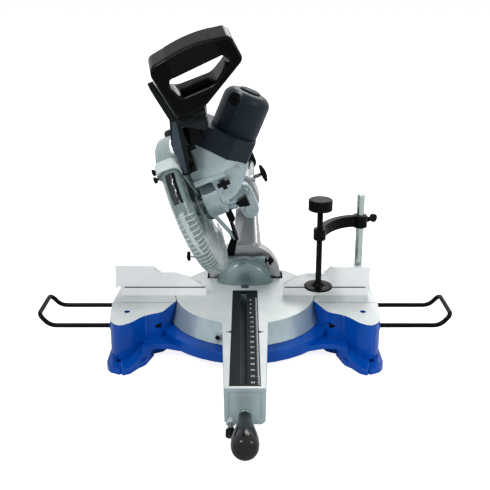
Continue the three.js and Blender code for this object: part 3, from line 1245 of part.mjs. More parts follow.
function leverBracket() {
  const l = lever;
  const near = l.to + gap.run;
  const plate = alongX(drawn([
    [l.y - lug.footY, l.z - lug.footZ, lug.footRound],
    [l.y + lug.heelY, l.z - lug.footZ, lug.heelRound],
    [lug.backY, lug.backLow, lug.backRound],
    [lug.backY, lug.backHigh, lug.backRound],
    [lug.crestY, lug.crestZ, lug.crestRound],
    [lug.frontY, lug.frontZ, lug.crestRound],
    [l.y + lug.kneeY, l.z + lug.kneeZ, lug.kneeRound],
  ]), near, near + lug.thick);
  return join(
    plate,
    rodX(near, near + lug.reach, lug.y, lug.z, lug.radius),
    rodX(l.from - l.pinOut, near + sink, l.y, l.z, l.pin),
    rodX(l.from - l.pinHeadOut, l.from - gap.run, l.y, l.z, l.pinHead, 6),
  ).subtract(gearCase());
}

// Clamp: a post in the right fence boss, an S-shaped arm, a screw with a knob, and its foot.
function swivelPost() {
  const p = post;
  const foot = [[p.radius - sink, postBottom], [p.radius, postBottom + sink]];
  const crown = [[p.radius, postTop - p.bevel], [p.radius - p.bevel, postTop]];
  return turned([[0, postBottom], ...foot, ...crown, [0, postTop]], 22).translate(postX, p.y, 0);
}
const armDirection = new THREE.Vector2(postX - clamp.screwX, post.y - clamp.screwY).normalize();
const besidePost = (reach) => [postX + armDirection.x * reach, post.y + armDirection.y * reach];

function clampArm() {
  const c = clamp;
  const bow = new THREE.CubicBezierCurve(
    new THREE.Vector2(c.screwX, c.screwY),
    new THREE.Vector2(c.screwX + c.bowX, c.screwY + c.bowY),
    new THREE.Vector2(postX - c.bowPostX, post.y + c.bowPostY),
    new THREE.Vector2(postX, post.y),
  );
  const steps = 12;
  const edge = (side) => Array.from({ length: steps + 1 }, (_, i) => {
    const place = bow.getPoint(i / steps);
    const run = bow.getTangent(i / steps);
    return [place.x - side * run.y * c.armHalf, place.y + side * run.x * c.armHalf];
  });
  const plan = new CrossSection([[...edge(-1), ...edge(1).reverse()]], "NonZero")
    .add(disc(c.bossRadius, c.screwX, c.screwY))
    .add(disc(c.postBoss, postX, post.y))
    .add(disc(c.armHalf, ...besidePost(c.thumbLug)));
  return alongZ(plan, clampArmLow, clampArmHigh)
    .subtract(rodZ(0, postTop, postX, post.y, post.radius + gap.run / 2))
    .subtract(rodZ(0, postTop, c.screwX, c.screwY, c.screw + gap.run / 2))
    .subtract(rod([postX, post.y, thumbZ], [...besidePost(c.thumbReach), thumbZ], c.thumbStem + gap.run / 2));
}

// Thumb screw: a stem with a collar and a flat round grip, all along the clamp's arm.
function thumbScrew() {
  const c = clamp;
  const stem = turned([
    [0, 0],
    [c.thumbStem, 0],
    [c.thumbStem, c.thumbCollarAt],
    [c.thumbCollar, c.thumbCollarAt],
    [c.thumbCollar, c.thumbCollarEnd],
    [c.thumbNeck, c.thumbNeckAt],
    [c.thumbNeck, c.thumbStemEnd],
    [0, c.thumbStemEnd],
  ], 12);
  const reach = post.radius + gap.seat;
  const grip = rodX(-c.thumbWidth / 2, c.thumbWidth / 2, 0, c.thumbLength, c.thumbRadius, 16);
  const outward = [armDirection.x, armDirection.y, 0];
  const across = [-armDirection.y, armDirection.x, 0];
  return turn(stem.add(grip), basis(across, [0, 0, 1], outward)).translate([...besidePost(reach), thumbZ]);
}

function clampScrew() {
  const c = clamp;
  const flutes = 18;
  const perFlute = 3;
  const rim = Array.from({ length: flutes * perFlute }, (_, i) => {
    const angle = (i * 2 * Math.PI) / (flutes * perFlute);
    const reach = c.knobRadius - (i % perFlute === 0 ? c.flute : 0);
    return [reach * Math.cos(angle), reach * Math.sin(angle)];
  });
  const knobTop = clampKnobLow + c.knobThick;
  const tip = clampFootHigh + c.knobCap;
  const shank = turned([
    [0, tip],
    [c.screw - c.screwTip, tip],
    [c.screw, tip + c.knobCap],
    [c.screw, clampKnobLow + sink],
    [0, clampKnobLow + sink],
  ], 16);
  return alongZ(new CrossSection([rim], "NonZero"), clampKnobLow, knobTop - c.knobCap)
    .add(rodZ(knobTop - c.knobCap - sink, knobTop, 0, 0, c.knobRadius - c.knobCap))
    .add(shank)
    .translate(c.screwX, c.screwY, 0);
}

function clampFoot() {
  const c = clamp;
  const neckTop = clampFootHigh + c.footNeckHigh;
  const rimTop = clampFootLow + c.footRim;
  const cup = turned([
    [0, clampFootLow],
    [c.footRadius, clampFootLow],
    [c.footRadius, rimTop],
    [c.footRadius - c.footRimIn, rimTop + sink],
    [c.footNeck + c.footDish, rimTop + sink / 2],
    [c.footNeck, neckTop],
    [0, neckTop],
  ], 30);
  const floor = clampFootHigh + c.knobCap - gap.seat;
  const socket = rodZ(floor, floor + c.socketHigh, 0, 0, c.screw + gap.run / 2, 16);
  return cup.subtract(socket).translate(c.screwX, c.screwY, 0);
}

// Mitre lock knob on the arm's front: a pear on a short stem.
function mitreKnob() {
  const m = mitre;
  const profile = [
    [0, -m.stemIn],
    [m.stem, -m.stemIn],
    [m.stem, m.neckStart],
    [m.neckFirst, m.neckStart],
    [m.neck, m.neckAt],
    [m.neck + m.waistOut, m.waistAt],
    [m.neck + m.swell, m.swellAt],
    [m.belly - m.shoulderIn, m.shoulderAt],
    [m.belly - m.bellyIn, m.bellyNear],
    [m.belly, m.bellyAt],
    [m.belly - m.fallIn, m.fallAt],
    [m.belly - m.turnIn, m.turnAt],
    [m.belly - m.endIn, m.end - m.endRound],
    [0, m.end],
  ];
  return aimed(turned(profile, 20), [0, armFront, mitreZ], [0, -1, 0]);
}

// The sprung index plunger below the knob, with its housing and bore in the arm.
const indexDirection = [0, -Math.sin(index.leanAngle * degree), -Math.cos(index.leanAngle * degree)];
const indexRoot = [index.x, armFront + index.inward, top - index.drop];
const indexPlace = (reach) => indexRoot.map((v, k) => v + indexDirection[k] * reach);
const onIndex = (body, reach = 0) => aimed(body, indexPlace(reach), indexDirection);

function indexKnob() {
  const i = index;
  const low = i.reach - i.knobLength;
  const crown = [[i.knob, i.reach - i.knobRound], [i.knob - i.knobRound, i.reach]];
  const knob = turned([[0, low], [i.knob, low], ...crown, [0, i.reach]], 24);
  const cup = rodZ(low - overrun, low + i.travel + sink, 0, 0, i.cup, 16);
  return onIndex(knob.subtract(cup).add(rodZ(-i.pinIn, i.reach - i.pinEnd, 0, 0, i.pin, 12)));
}

const indexCoil = () => coil("index_spring", index.springRadius, index.wire, index.springLength, indexTurns);
const indexSpring = () => onIndex(indexCoil(), index.springFrom);
const indexHousing = () => onIndex(rodZ(-index.housingIn, index.housingOut, 0, 0, index.housing, 24));
const indexBore = () => onIndex(rodZ(-index.boreReach, index.boreReach, 0, 0, index.pin + gap.run / 2, 16));

// Mitre pointer on the turntable's skirt, with its screw.
function mitrePointer() {
  const m = mitre;
  const reach = table.radius + table.flare - m.pointerIn;
  const swing = Math.asin((arm.backHalf + m.pointerBeside) / reach);
  const angle = -Math.PI / 2 - swing;
  const thick = [-m.pointerThick, m.pointerThick];
  const plate = wrap(
    box([-m.pointerHalf, m.pointerHalf], thick, [-m.pointerLong, 0]),
    box([-m.pointerTipHalf, m.pointerTipHalf], thick, [-m.pointerTip, -m.pointerLong]),
  );
  return plate
    .add(rodY(-m.pointerScrewOut, 0, 0, -m.pointerScrewAt, m.pointerScrew))
    .rotate(m.pointerLean, 0, -swing / degree)
    .translate(reach * Math.cos(angle), reach * Math.sin(angle), skirtBottom + m.pointerRise);
}

// Tilt pivot bolt, the lock lever behind the turntable's boss, and the stop screws in the support's lugs.
function bevelBolt() {
  const b = bevel;
  const shank = rodY(drumFront - b.boltFrom, bossBack + b.boltEnd, 0, top, b.bolt);
  const back = drumFront - b.boltHeadTo - gap.seat;
  return shank.add(rodY(drumFront - b.boltHeadFrom, back, 0, top, b.boltHead, 6));
}

function bevelLever() {
  const b = bevel;
  const front = bossBack + gap.seat;
  const back = front + b.leverThick;
  const tipZ = top + b.leverRise;
  const grip = wrap(
    rodY(front + b.leverSet, back, 0, top, b.leverArm),
    rodY(front + 2 * b.leverSet, back + b.leverSet, -b.leverLength, tipZ, b.leverArm),
  );
  return rodY(front, back, 0, top, b.leverHub).add(grip).subtract(rodY(0, far, 0, top, b.bolt + gap.run / 2));
}

function bevelStop() {
  const s = stop;
  const wingX = s.far + s.wingAt;
  return join(
    rodX(s.near - s.screwIn, s.far + s.screwOut, stopY, stopZ, s.screw),
    rodX(s.far + gap.seat, s.far + s.nutThick, stopY, stopZ, s.nut, 6),
    rodZ(stopZ - s.wingHalf, stopZ + s.wingHalf, wingX, stopY, s.wingRadius, 10),
    rodX(s.far + s.hubFrom, s.far + s.hubTo, stopY, stopZ, s.hubRadius),
  );
}

// Slide lock: a screw in the rail housing with a bar grip, and the spring round its stem.
function slideLock() {
  const l = lock;
  const tip = rail.x + rail.bush + l.tipRoom;
  const ends = [l.knobFrom + l.knobIn, l.knobTo - l.knobIn];
  const end = (side) => rodX(...ends, l.y, rail.upper + side * l.knobHalf, l.knobEnd);
  const grip = wrap(end(-1), rodX(l.knobFrom, l.knobTo + l.knobIn, l.y, rail.upper, l.knobHub), end(1));
  return grip.add(rodX(tip, l.knobFrom + sink, l.y, rail.upper, l.stem - l.stemPlay));
}

function lockSpring() {
  const l = lock;
  const length = l.knobFrom - l.face - 3 * l.springRoom;
  const wound = coil("slide_lock_spring", l.springRadius, l.wire, length, lockTurns);
  return aimed(wound, [l.face + l.springRoom, l.y, rail.upper], [1, 0, 0]);
}

// The assembled saw: what stands on the bench, what turns with the table, and what tilts with the arm.
const saw = new THREE.Group();
const turntable = new THREE.Group();
const tilt = new THREE.Group();
tilt.position.set(0, 0, top);
tilt.rotation.y = -restAngle * degree;
turntable.add(tilt);
saw.add(turntable);

mesh("base_casting", base(), "blue", saw);
mesh("fence_fixed_right", fixedFence(fenceRight - fence.rightShort), "machined", saw);
mesh("fence_fixed_left", mirrored(fixedFence(fenceLeft - fence.leftShort)), "machined", saw);
mesh("fence_slide_right", slidingFence(fenceRight), "machined", saw);
mesh("fence_slide_left", mirrored(slidingFence(fenceLeft)), "machined", saw);
for (const [name, side] of [["right", 1], ["left", -1]]) {
  mesh("fence_knob_" + name, fenceKnob(side), "black", saw);
  mesh("extension_bar_" + name, side > 0 ? extensionBar() : mirrored(extensionBar()), "black", saw);
  mesh("bar_screw_" + name, barScrew(side), "black", saw);
}
mesh("clamp_post", swivelPost(), "chrome", saw);
mesh("clamp_arm", clampArm(), "black", saw);
mesh("clamp_thumbscrew", thumbScrew(), "black", saw);
mesh("clamp_screw", clampScrew(), "black", saw);
mesh("clamp_foot", clampFoot(), "black", saw);

mesh("turntable_casting", turntableCasting(), "cast", turntable);
mesh("kerf_insert", kerfInsert(), "insert", turntable);
mesh("mitre_pointer", mitrePointer(), "steel", turntable);
mesh("bevel_support", bevelSupport(), "dome", turntable);
mesh("bevel_stop_right", bevelStop(), "black", turntable);
mesh("bevel_stop_left", mirrored(bevelStop()), "black", turntable);
mesh("bevel_bolt", bevelBolt(), "steel", turntable);
mesh("bevel_lever", bevelLever(), "black", turntable);
mesh("mitre_knob", mitreKnob(), "black", turntable);
mesh("index_knob", indexKnob(), "black", turntable);
mesh("index_spring", indexSpring(), "steel", turntable);

mesh("tilt_arm", tiltArm(), "column", tilt);
mesh("bush_upper", bush(rail.upper), "steel", tilt);
mesh("bush_lower", bush(rail.lower), "steel", tilt);
mesh("stop_bracket", stopBracket(), "black", tilt);
mesh("slide_lock", slideLock(), "black", tilt);
mesh("slide_lock_spring", lockSpring(), "steel", tilt);
mesh("rail_upper", slideRail(rail.upper), "chrome", tilt);
mesh("rail_lower", slideRail(rail.lower), "chrome", tilt);
mesh("rail_end_plate", railEndPlate(), "black", tilt);
mesh("carriage_casting", carriageCasting(), "cast", tilt);
mesh("pivot_pin", pivotPin(), "steel", tilt);
mesh("link_anchor", linkAnchor(), "black", tilt);
mesh("guard_link", guardLink(), "link", tilt);
mesh("gear_case", gearCase(), "cast", tilt);
mesh("latch_knob", latchKnob(), "black", tilt);
mesh("depth_stop", depthStop(), "black", tilt);
mesh("spindle_lock", spindleButton(), "black", tilt);
mesh("motor_collar", motorCollar(), "darkPlastic", tilt);
mesh("motor_housing", motorHousing(), "darkPlastic", tilt);
mesh("motor_end_cap", motorEndCap(), "darkPlastic", tilt);
mesh("brush_cap_front", brushCap(-1, motor.brushFrontProud), "black", tilt);
mesh("brush_cap_back", brushCap(1, motor.brushBackProud), "black", tilt);
mesh("upper_guard", upperGuard(), "guard", tilt);
mesh("lower_guard", lowerGuard(), "clear", tilt);
mesh("saw_blade", sawBlade(), "blade", tilt);
mesh("outer_flange", outerFlange(), "steel", tilt);
mesh("arbor_shaft", arborShaft(), "steel", tilt);
mesh("dust_port", dustPort(), "black", tilt);
mesh("d_handle", dHandle(), "black", tilt);
mesh("trigger", triggerPaddle(), "darkPlastic", tilt);
mesh("guard_lever", guardLever(), "link", tilt);
mesh("lever_bracket", leverBracket(), "black", tilt);

export default saw;
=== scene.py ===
"""Sliding compound mitre saw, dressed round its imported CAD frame: smooth pieces, finishes and light."""

import json
import logging
from contextlib import contextmanager
from dataclasses import dataclass
from enum import Enum
from math import cos, pi, radians, sin, sqrt
from typing import Callable, Iterable, Iterator, Optional, Sequence

import bpy
from mathutils import Matrix, Vector

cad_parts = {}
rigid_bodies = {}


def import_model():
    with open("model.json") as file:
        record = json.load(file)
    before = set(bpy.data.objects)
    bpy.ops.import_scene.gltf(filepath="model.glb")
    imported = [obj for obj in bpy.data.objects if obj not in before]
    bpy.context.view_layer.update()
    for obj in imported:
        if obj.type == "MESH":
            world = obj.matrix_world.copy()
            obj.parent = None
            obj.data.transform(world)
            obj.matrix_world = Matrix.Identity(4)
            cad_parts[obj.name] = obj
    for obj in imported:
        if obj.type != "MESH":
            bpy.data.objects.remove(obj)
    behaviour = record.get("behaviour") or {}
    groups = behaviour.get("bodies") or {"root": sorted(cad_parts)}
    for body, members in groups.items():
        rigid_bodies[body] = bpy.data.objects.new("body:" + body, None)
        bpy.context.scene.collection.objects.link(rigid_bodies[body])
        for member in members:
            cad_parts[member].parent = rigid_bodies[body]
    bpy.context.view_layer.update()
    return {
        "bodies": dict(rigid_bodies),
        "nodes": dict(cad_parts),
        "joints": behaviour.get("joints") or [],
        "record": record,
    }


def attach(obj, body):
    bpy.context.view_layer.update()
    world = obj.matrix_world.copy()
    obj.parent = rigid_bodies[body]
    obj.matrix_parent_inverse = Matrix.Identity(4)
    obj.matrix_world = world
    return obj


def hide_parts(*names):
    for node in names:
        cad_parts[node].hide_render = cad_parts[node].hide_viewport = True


LOG = logging.getLogger("mitre_saw")
MM = 0.001
Point = Sequence[float]
# A place on two axes, or a pair of limits.
Corner = tuple[float, float]
Outline = tuple[Corner, ...]
Place = tuple[float, float, float]
Piece = bpy.types.Object
Test = Callable[[Vector, Vector], bool]

# Doubles closer than this are one point: in a piece's millimetres, and in the CAD nodes' metres.
WELD = 1e-4
CAD_WELD = 2e-5


def linear(colour: str) -> tuple[float, ...]:
    """Turn an sRGB hex colour into linear light.

    Args:
        colour: six hex digits with a leading #.

    Returns:
        Red, green and blue in linear light, and an alpha of 1.
    """
    parts = [int(colour[i : i + 2], 16) / 255 for i in (1, 3, 5)]
    light = [c / 12.92 if c <= 0.04045 else ((c + 0.055) / 1.055) ** 2.4 for c in parts]
    return (light[0], light[1], light[2], 1.0)


def add_node(
    tree: bpy.types.NodeTree, kind: str, settings: Optional[dict] = None, links: Optional[dict] = None,
) -> bpy.types.Node:
    """Add a shader node with its settings and its incoming links.

    Args:
        tree: the material's node tree.
        kind: the node type's identifier.
        settings: attribute names, or input names, with the values they get.
        links: input names with the output sockets that feed them.

    Returns:
        The new node.
    """
    made = tree.nodes.new(kind)
    for key, value in (settings or {}).items():
        if isinstance(key, str) and hasattr(made, key):
            setattr(made, key, value)
        else:
            made.inputs[key].default_value = value
    for key, socket in (links or {}).items():
        tree.links.new(socket, made.inputs[key])
    return made


class Surface(Enum):
    """How a finish was made, which decides the pattern that its surface carries."""

    MOULDED = "moulded"
    CAST = "cast"
    MILLED = "milled"
    ENAMELLED = "enamelled"
    POLISHED = "polished"
    CLEAR = "clear"
    DOTTED = "dotted"


@dataclass(frozen=True)
class Finish:
    """One real finish: its colours, its shader values and the grain that its making leaves."""

    name: str
    surface: Surface
    colour: str
    shade: str
    roughness: float
    metallic: float = 0.0
    ior: float = 1.5
    grain_mm: float = 1.0
    relief_mm: float = 0.05
    patch_mm: float = 60.0
    coat: float = 0.0
    shine: float = 0.5
    rounding_mm: float = 0.8
    see_through: float = 0.0
    patch_band: Corner = (0.3, 0.7)
    rough_spread: Corner = (0.85, 1.2)
    bump_strength: float = 0.5
    coat_roughness: float = 0.08
    cutter_stretch: float = 0.06
    dot_edge: Corner = (0.25, 0.45)

    def material(self) -> bpy.types.Material:
        """Build the node material, once per finish.

        Returns:
            The material.
        """
        made = bpy.data.materials.get(self.name)
        if made is not None:
            return made
        made = bpy.data.materials.new(self.name)
        made.use_nodes = True
        tree = made.node_tree
        tree.nodes.clear()
        place = add_node(tree, "ShaderNodeTexCoord").outputs["Object"]
        patch = add_node(
            tree, "ShaderNodeTexNoise", {"Scale": 1000 / self.patch_mm, "Detail": 4.0, "Roughness": 0.6},
            {"Vector": place},
        )
        blend = add_node(
            tree, "ShaderNodeMapRange", {"From Min": self.patch_band[0], "From Max": self.patch_band[1]},
            {"Value": patch.outputs["Fac"]},
        )
        tint = add_node(
            tree, "ShaderNodeMix", {"data_type": "RGBA", 6: linear(self.shade), 7: linear(self.colour)},
            {0: blend.outputs["Result"]},
        )
        grain = self._grain(tree, place)
        smoother, rougher = (self.roughness * share for share in self.rough_spread)
        rough = add_node(
            tree, "ShaderNodeMapRange", {"To Min": smoother, "To Max": min(1.0, rougher)}, {"Value": grain},
        )
        relief = {"Height": grain}
        if self.rounding_mm:
            edge = add_node(tree, "ShaderNodeBevel", {"samples": 4, "Radius": self.rounding_mm * MM})
            relief["Normal"] = edge.outputs["Normal"]
        bump = add_node(
            tree, "ShaderNodeBump", {"Strength": self.bump_strength, "Distance": self.relief_mm * MM},
            relief,
        )
        shader = add_node(
            tree,
            "ShaderNodeBsdfPrincipled",
            {
                "Metallic": self.metallic, "IOR": self.ior, "Coat Weight": self.coat,
                "Coat Roughness": self.coat_roughness, "Specular IOR Level": self.shine,
            },
            {
                "Base Color": tint.outputs[2], "Roughness": rough.outputs["Result"],
                "Normal": bump.outputs["Normal"],
            },
        )
        if self.see_through:
            shader.inputs["Alpha"].default_value = 1.0 - self.see_through
        add_node(tree, "ShaderNodeOutputMaterial", {}, {"Surface": shader.outputs["BSDF"]})
        return made

    def _grain(self, tree: bpy.types.NodeTree, place: bpy.types.NodeSocket) -> bpy.types.NodeSocket:
        """Add the fine pattern that the making left.

        Args:
            tree: the material's node tree.
            place: the socket of object coordinates.

        Returns:
            The socket with the pattern's height, from 0 to 1.
        """
        scale = 1000 / self.grain_mm
        if self.surface is Surface.MILLED:
            # cutter marks: long one way and close together the other
            stretch = add_node(
                tree, "ShaderNodeMapping", {"Scale": (1.0, self.cutter_stretch, 1.0)}, {"Vector": place},
            )
            marks = add_node(
                tree, "ShaderNodeTexNoise", {"Scale": scale, "Detail": 3.0},
                {"Vector": stretch.outputs["Vector"]},
            )
            return marks.outputs["Fac"]
        if self.surface is Surface.CAST:
            # sand left small round pits and bumps
            cells = add_node(
                tree, "ShaderNodeTexVoronoi", {"Scale": scale, "Randomness": 1.0}, {"Vector": place},
            )
            return cells.outputs["Distance"]
        if self.surface is Surface.DOTTED:
            # moulded dots in rows, round and evenly spaced
            rows = add_node(
                tree, "ShaderNodeTexVoronoi", {"Scale": scale, "Randomness": 0.0}, {"Vector": place},
            )
            near, far = self.dot_edge
            fall = {"From Min": near, "From Max": far, "To Min": 1.0, "To Max": 0.0}
            dots = add_node(tree, "ShaderNodeMapRange", fall, {"Value": rows.outputs["Distance"]})
            return dots.outputs["Result"]
        return add_node(
            tree, "ShaderNodeTexNoise", {"Scale": scale, "Detail": 2.0}, {"Vector": place},
        ).outputs["Fac"]


# Blue powder enamel on the base: glossy, with a soft orange-peel skin.
BASE_ENAMEL = Finish(
    "blue_powder_enamel", Surface.ENAMELLED, "#0053BA", "#00459E", 0.2, coat=0.1, grain_mm=3.0,
    relief_mm=0.04, patch_mm=90, shine=0.16, rounding_mm=1.5,
)
# Milled faces of the table, the wings and the fence: bright, with fine cutter lines; the fence's upright
# faces take a paler copy below, painted light.
MILLED_TOP = Finish(
    "milled_aluminium", Surface.MILLED, "#D9DDDC", "#C7CDCC", 0.42, metallic=0.15, grain_mm=0.9,
    relief_mm=0.02, rounding_mm=0.3,
)
# The fence's cast sides: pale, almost matt.
FENCE_CASTING = Finish(
    "fence_casting", Surface.CAST, "#E2E6E5", "#D2D7D6", 0.45, metallic=0.3, grain_mm=0.8, relief_mm=0.03,
    rounding_mm=0.6,
)
# The fence's milled faces, which stand upright and so need to be paler: painted light, coloured paler than
# the milled tops to look as bright as they do.
FENCE_FACE_PAINTED_LIGHT = Finish(
    "milled_fence_face", Surface.MILLED, "#FFFFFF", "#F6F9F8", 0.38, metallic=0.1, grain_mm=0.9,
    relief_mm=0.02, rounding_mm=0.3,
)
# Die-cast aluminium under silver paint: pale blue grey, half matt.
CAST_SILVER = Finish(
    "painted_die_casting", Surface.CAST, "#B6C8CB", "#9FB0B4", 0.3, metallic=0.35, grain_mm=0.9,
    relief_mm=0.025, coat=0.2, rounding_mm=1.2,
)
# The tilt support's darker silver paint.
SUPPORT_GREY = Finish(
    "grey_die_casting", Surface.CAST, "#869A9C", "#6E8385", 0.26, metallic=0.45, grain_mm=0.9,
    relief_mm=0.008, coat=0.3, rounding_mm=0.0,
)
# The leaning column's warmer grey paint.
COLUMN_GREY = Finish(
    "column_casting", Surface.CAST, "#8F9292", "#727575", 0.32, metallic=0.4, grain_mm=1.2, relief_mm=0.03,
    coat=0.2, rounding_mm=1.5,
)
# Glass-filled nylon of the motor: dark blue grey, fine grain.
MOTOR_NYLON = Finish(
    "glass_filled_nylon", Surface.MOULDED, "#1B2732", "#141F29", 0.38, grain_mm=0.7, relief_mm=0.03,
    shine=0.16,
)
# Black ABS of small knobs and caps.
BLACK_ABS = Finish(
    "black_abs", Surface.MOULDED, "#090B0C", "#050607", 0.3, grain_mm=0.8, relief_mm=0.02, shine=0.1,
    rounding_mm=0.6,
)
# Gloss black of the handle, as it leaves a polished mould.
GLOSS_BLACK = Finish(
    "gloss_black_nylon", Surface.POLISHED, "#040505", "#020303", 0.14, grain_mm=6.0, relief_mm=0.015,
    shine=0.1, rounding_mm=0.0,
)
# The pear knob's black, polished a little brighter.
PEAR_BLACK = Finish(
    "polished_black_nylon", Surface.POLISHED, "#0B0C0D", "#070808", 0.16, grain_mm=6.0, relief_mm=0.015,
    shine=0.32, rounding_mm=0.0,
)
# Dotted rubber of the grip.
GRIP_RUBBER = Finish(
    "dotted_grip_rubber", Surface.DOTTED, "#040404", "#060707", 0.42, grain_mm=3.0, relief_mm=0.6,
    shine=0.1, rounding_mm=0.5,
)
# Black lacquered steel of bars, brackets and the clamp.
BLACK_LACQUER = Finish(
    "black_lacquered_steel", Surface.ENAMELLED, "#08090A", "#040506", 0.26, grain_mm=2.0, relief_mm=0.03,
    shine=0.07, rounding_mm=0.6,
)
# Dark phenolic of the kerf insert.
INSERT_BOARD = Finish(
    "dark_insert_board", Surface.MOULDED, "#0C1518", "#080F12", 0.45, grain_mm=0.6, relief_mm=0.02,
    shine=0.08, rounding_mm=0.3,
)
# Zinc-plated steel of screws, springs and flanges.
ZINC_STEEL = Finish(
    "zinc_plated_steel", Surface.POLISHED, "#B4BABC", "#9CA3A6", 0.28, metallic=0.9, grain_mm=0.5,
    relief_mm=0.01, rounding_mm=0.3,
)
# Hard chrome of the rails and the clamp post.
HARD_CHROME = Finish(
    "hard_chrome", Surface.POLISHED, "#BCC9C4", "#A9B6B1", 0.18, metallic=1.0, grain_mm=4.0,
    relief_mm=0.005, rounding_mm=0.4,
)
# Blue grey paint of the guard's lever and link.
LEVER_PAINT = Finish(
    "lever_paint", Surface.ENAMELLED, "#3A4853", "#2D3A44", 0.36, metallic=0.15, grain_mm=1.5,
    relief_mm=0.02, shine=0.3, rounding_mm=0.5,
)
# Near-black green of the lever's moulded body.
LEVER_DARK = Finish(
    "lever_moulding", Surface.MOULDED, "#0E1718", "#091011", 0.36, grain_mm=1.0, relief_mm=0.02, shine=0.12,
    rounding_mm=0.6,
)
# Milky polycarbonate of the upper guard.
GUARD_MILKY = Finish(
    "milky_polycarbonate", Surface.CLEAR, "#A4B8B8", "#90A5A5", 0.16, grain_mm=5.0, relief_mm=0.05,
    coat=0.5, rounding_mm=0.0, see_through=0.14,
)
# Glossy white collar of the upper guard.
BAND_GLOSS = Finish(
    "glossy_guard_band", Surface.CLEAR, "#DCE6E4", "#CAD6D4", 0.14, grain_mm=6.0, relief_mm=0.02, coat=0.5,
    rounding_mm=0.0,
)
# Clear polycarbonate of the lower guard, a little smoky.
GUARD_CLEAR = Finish(
    "clear_polycarbonate", Surface.CLEAR, "#93A8A6", "#7F9492", 0.12, grain_mm=6.0, relief_mm=0.05,
    coat=0.6, rounding_mm=0.0, see_through=0.42,
)
# The lower guard's clear ridges, coloured paler and less clear than the guard: a painted highlight where the
# light gathers.
RIDGE_PAINTED_HIGHLIGHT = Finish(
    "guard_ridge", Surface.CLEAR, "#D3DFDD", "#BECCCA", 0.18, grain_mm=4.0, relief_mm=0.03, coat=0.4,
    rounding_mm=0.0, see_through=0.15,
)
# Clear plastic of the mitre pointer.
CLEAR_PLASTIC = Finish(
    "clear_pointer_plastic", Surface.CLEAR, "#C9D3D2", "#B4C0BF", 0.16, grain_mm=3.0, relief_mm=0.02,
    coat=0.4, rounding_mm=0.3, see_through=0.35,
)
# Ground steel of the blade.
BLADE_STEEL = Finish(
    "ground_blade_steel", Surface.MILLED, "#9EA4A7", "#82888B", 0.24, metallic=0.95, grain_mm=0.7,
    relief_mm=0.01, rounding_mm=0.1,
)
# Sintered carbide of the tooth tips.
CARBIDE = Finish(
    "sintered_carbide", Surface.POLISHED, "#5E6264", "#505355", 0.38, metallic=0.8, grain_mm=0.4,
    relief_mm=0.01, rounding_mm=0.1,
)
# The cast floor of the kerf's channel, coloured dark as painted shade for the narrow slot above it.
CHANNEL_PAINTED_SHADE = Finish(
    "kerf_channel_painted_shade", Surface.CAST, "#3A4A4E", "#2C3A3E", 0.5, metallic=0.1, grain_mm=0.9, relief_mm=0.03,
    shine=0.3, rounding_mm=0.5,
)
# Steel of the plate beside the blade, ground and a little dark in the guard's shade.
COVER_STEEL = Finish(
    "cover_plate_steel", Surface.MILLED, "#3C4547", "#2B3335", 0.3, metallic=0.7, grain_mm=0.8,
    relief_mm=0.01, rounding_mm=0.2,
)
# Rubber of the dust flap and the bumper, matt and nearly black.
FLAP_RUBBER = Finish(
    "dust_flap_rubber", Surface.MOULDED, "#151B1C", "#0D1213", 0.55, grain_mm=0.9, relief_mm=0.05,
    shine=0.25, rounding_mm=0.4,
)
# White print of the centimetre scale.
SCALE_WHITE = Finish(
    "white_scale_print", Surface.MOULDED, "#F4F8F8", "#E6EBEB", 0.5, grain_mm=0.6, relief_mm=0.01,
    rounding_mm=0.05,
)

# The table's height in metres, where the tilt's axis lies, and the head's tilt in degrees at rest.
TABLE_TOP = 0.09
TILT = -22.5
# The motor slants by half a right angle in the head.
SLANT = sqrt(0.5)

# A face lies flat when its normal's share along the axis is above this.
FLAT = 0.99
# How far below the table's height, in metres, a milled face may lie.
MILLED_SLACK = 0.0015
# Both sides, each with the sign of its X.
SIDES = (("right", 1), ("left", -1))

# Frames that pieces are modelled in: the tilted head's, the motor's and the bench's.
HEAD = Matrix.Translation((0, 0, TABLE_TOP)) @ Matrix.Rotation(radians(TILT), 4, "Y")
MOTOR = HEAD @ Matrix(((SLANT, 0, SLANT, 0), (0, 1, 0, 0), (-SLANT, 0, SLANT, 0), (0, 0, 0, 1)))
WORLD = Matrix.Identity(4)
# Turns what is drawn up along Z to the front.
FORWARD = Matrix.Rotation(pi / 2, 4, "X")
# Turn an outline drawn in X and Y: into Y and Z with its thickness along X, or into X and Z.
ALONG_X = Matrix(((0, 0, 1, 0), (1, 0, 0, 0), (0, 1, 0, 0), (0, 0, 0, 1)))
ALONG_Y = Matrix(((1, 0, 0, 0), (0, 0, -1, 0), (0, 1, 0, 0), (0, 0, 0, 1)))


def bend(before: Vector, here: Vector, after: Vector, steps: int) -> list[Vector]:
    """Round a corner between two places on its sides.

    Args:
        before: where the rounding starts.
        here: the corner.
        after: where the rounding ends.
        steps: straight pieces in the rounding.

    Returns:
        The rounding's points, both ends included.
    """
    shares = [k / steps for k in range(steps + 1)]
    return [before.lerp(here, share).lerp(here.lerp(after, share), share) for share in shares]


def rounded(corners: Sequence[Point], steps: int = 6) -> list[Corner]:
    """Draw an outline whose corners may be round.

    Args:
        corners: places on two axes, each with the run of its rounding if it has one.
        steps: straight pieces in each rounding.

    Returns:
        The outline's points.
    """
    points: list[Corner] = []
    for i, corner in enumerate(corners):
        here, run = Vector(corner[:2]), corner[2] if len(corner) > 2 else 0.0
        if not run:
            points.append(tuple(here))
            continue
        before = here + (Vector(corners[i - 1][:2]) - here).normalized() * run
        after = here + (Vector(corners[(i + 1) % len(corners)][:2]) - here).normalized() * run
        points += [tuple(place) for place in bend(before, here, after, steps)]
    return points


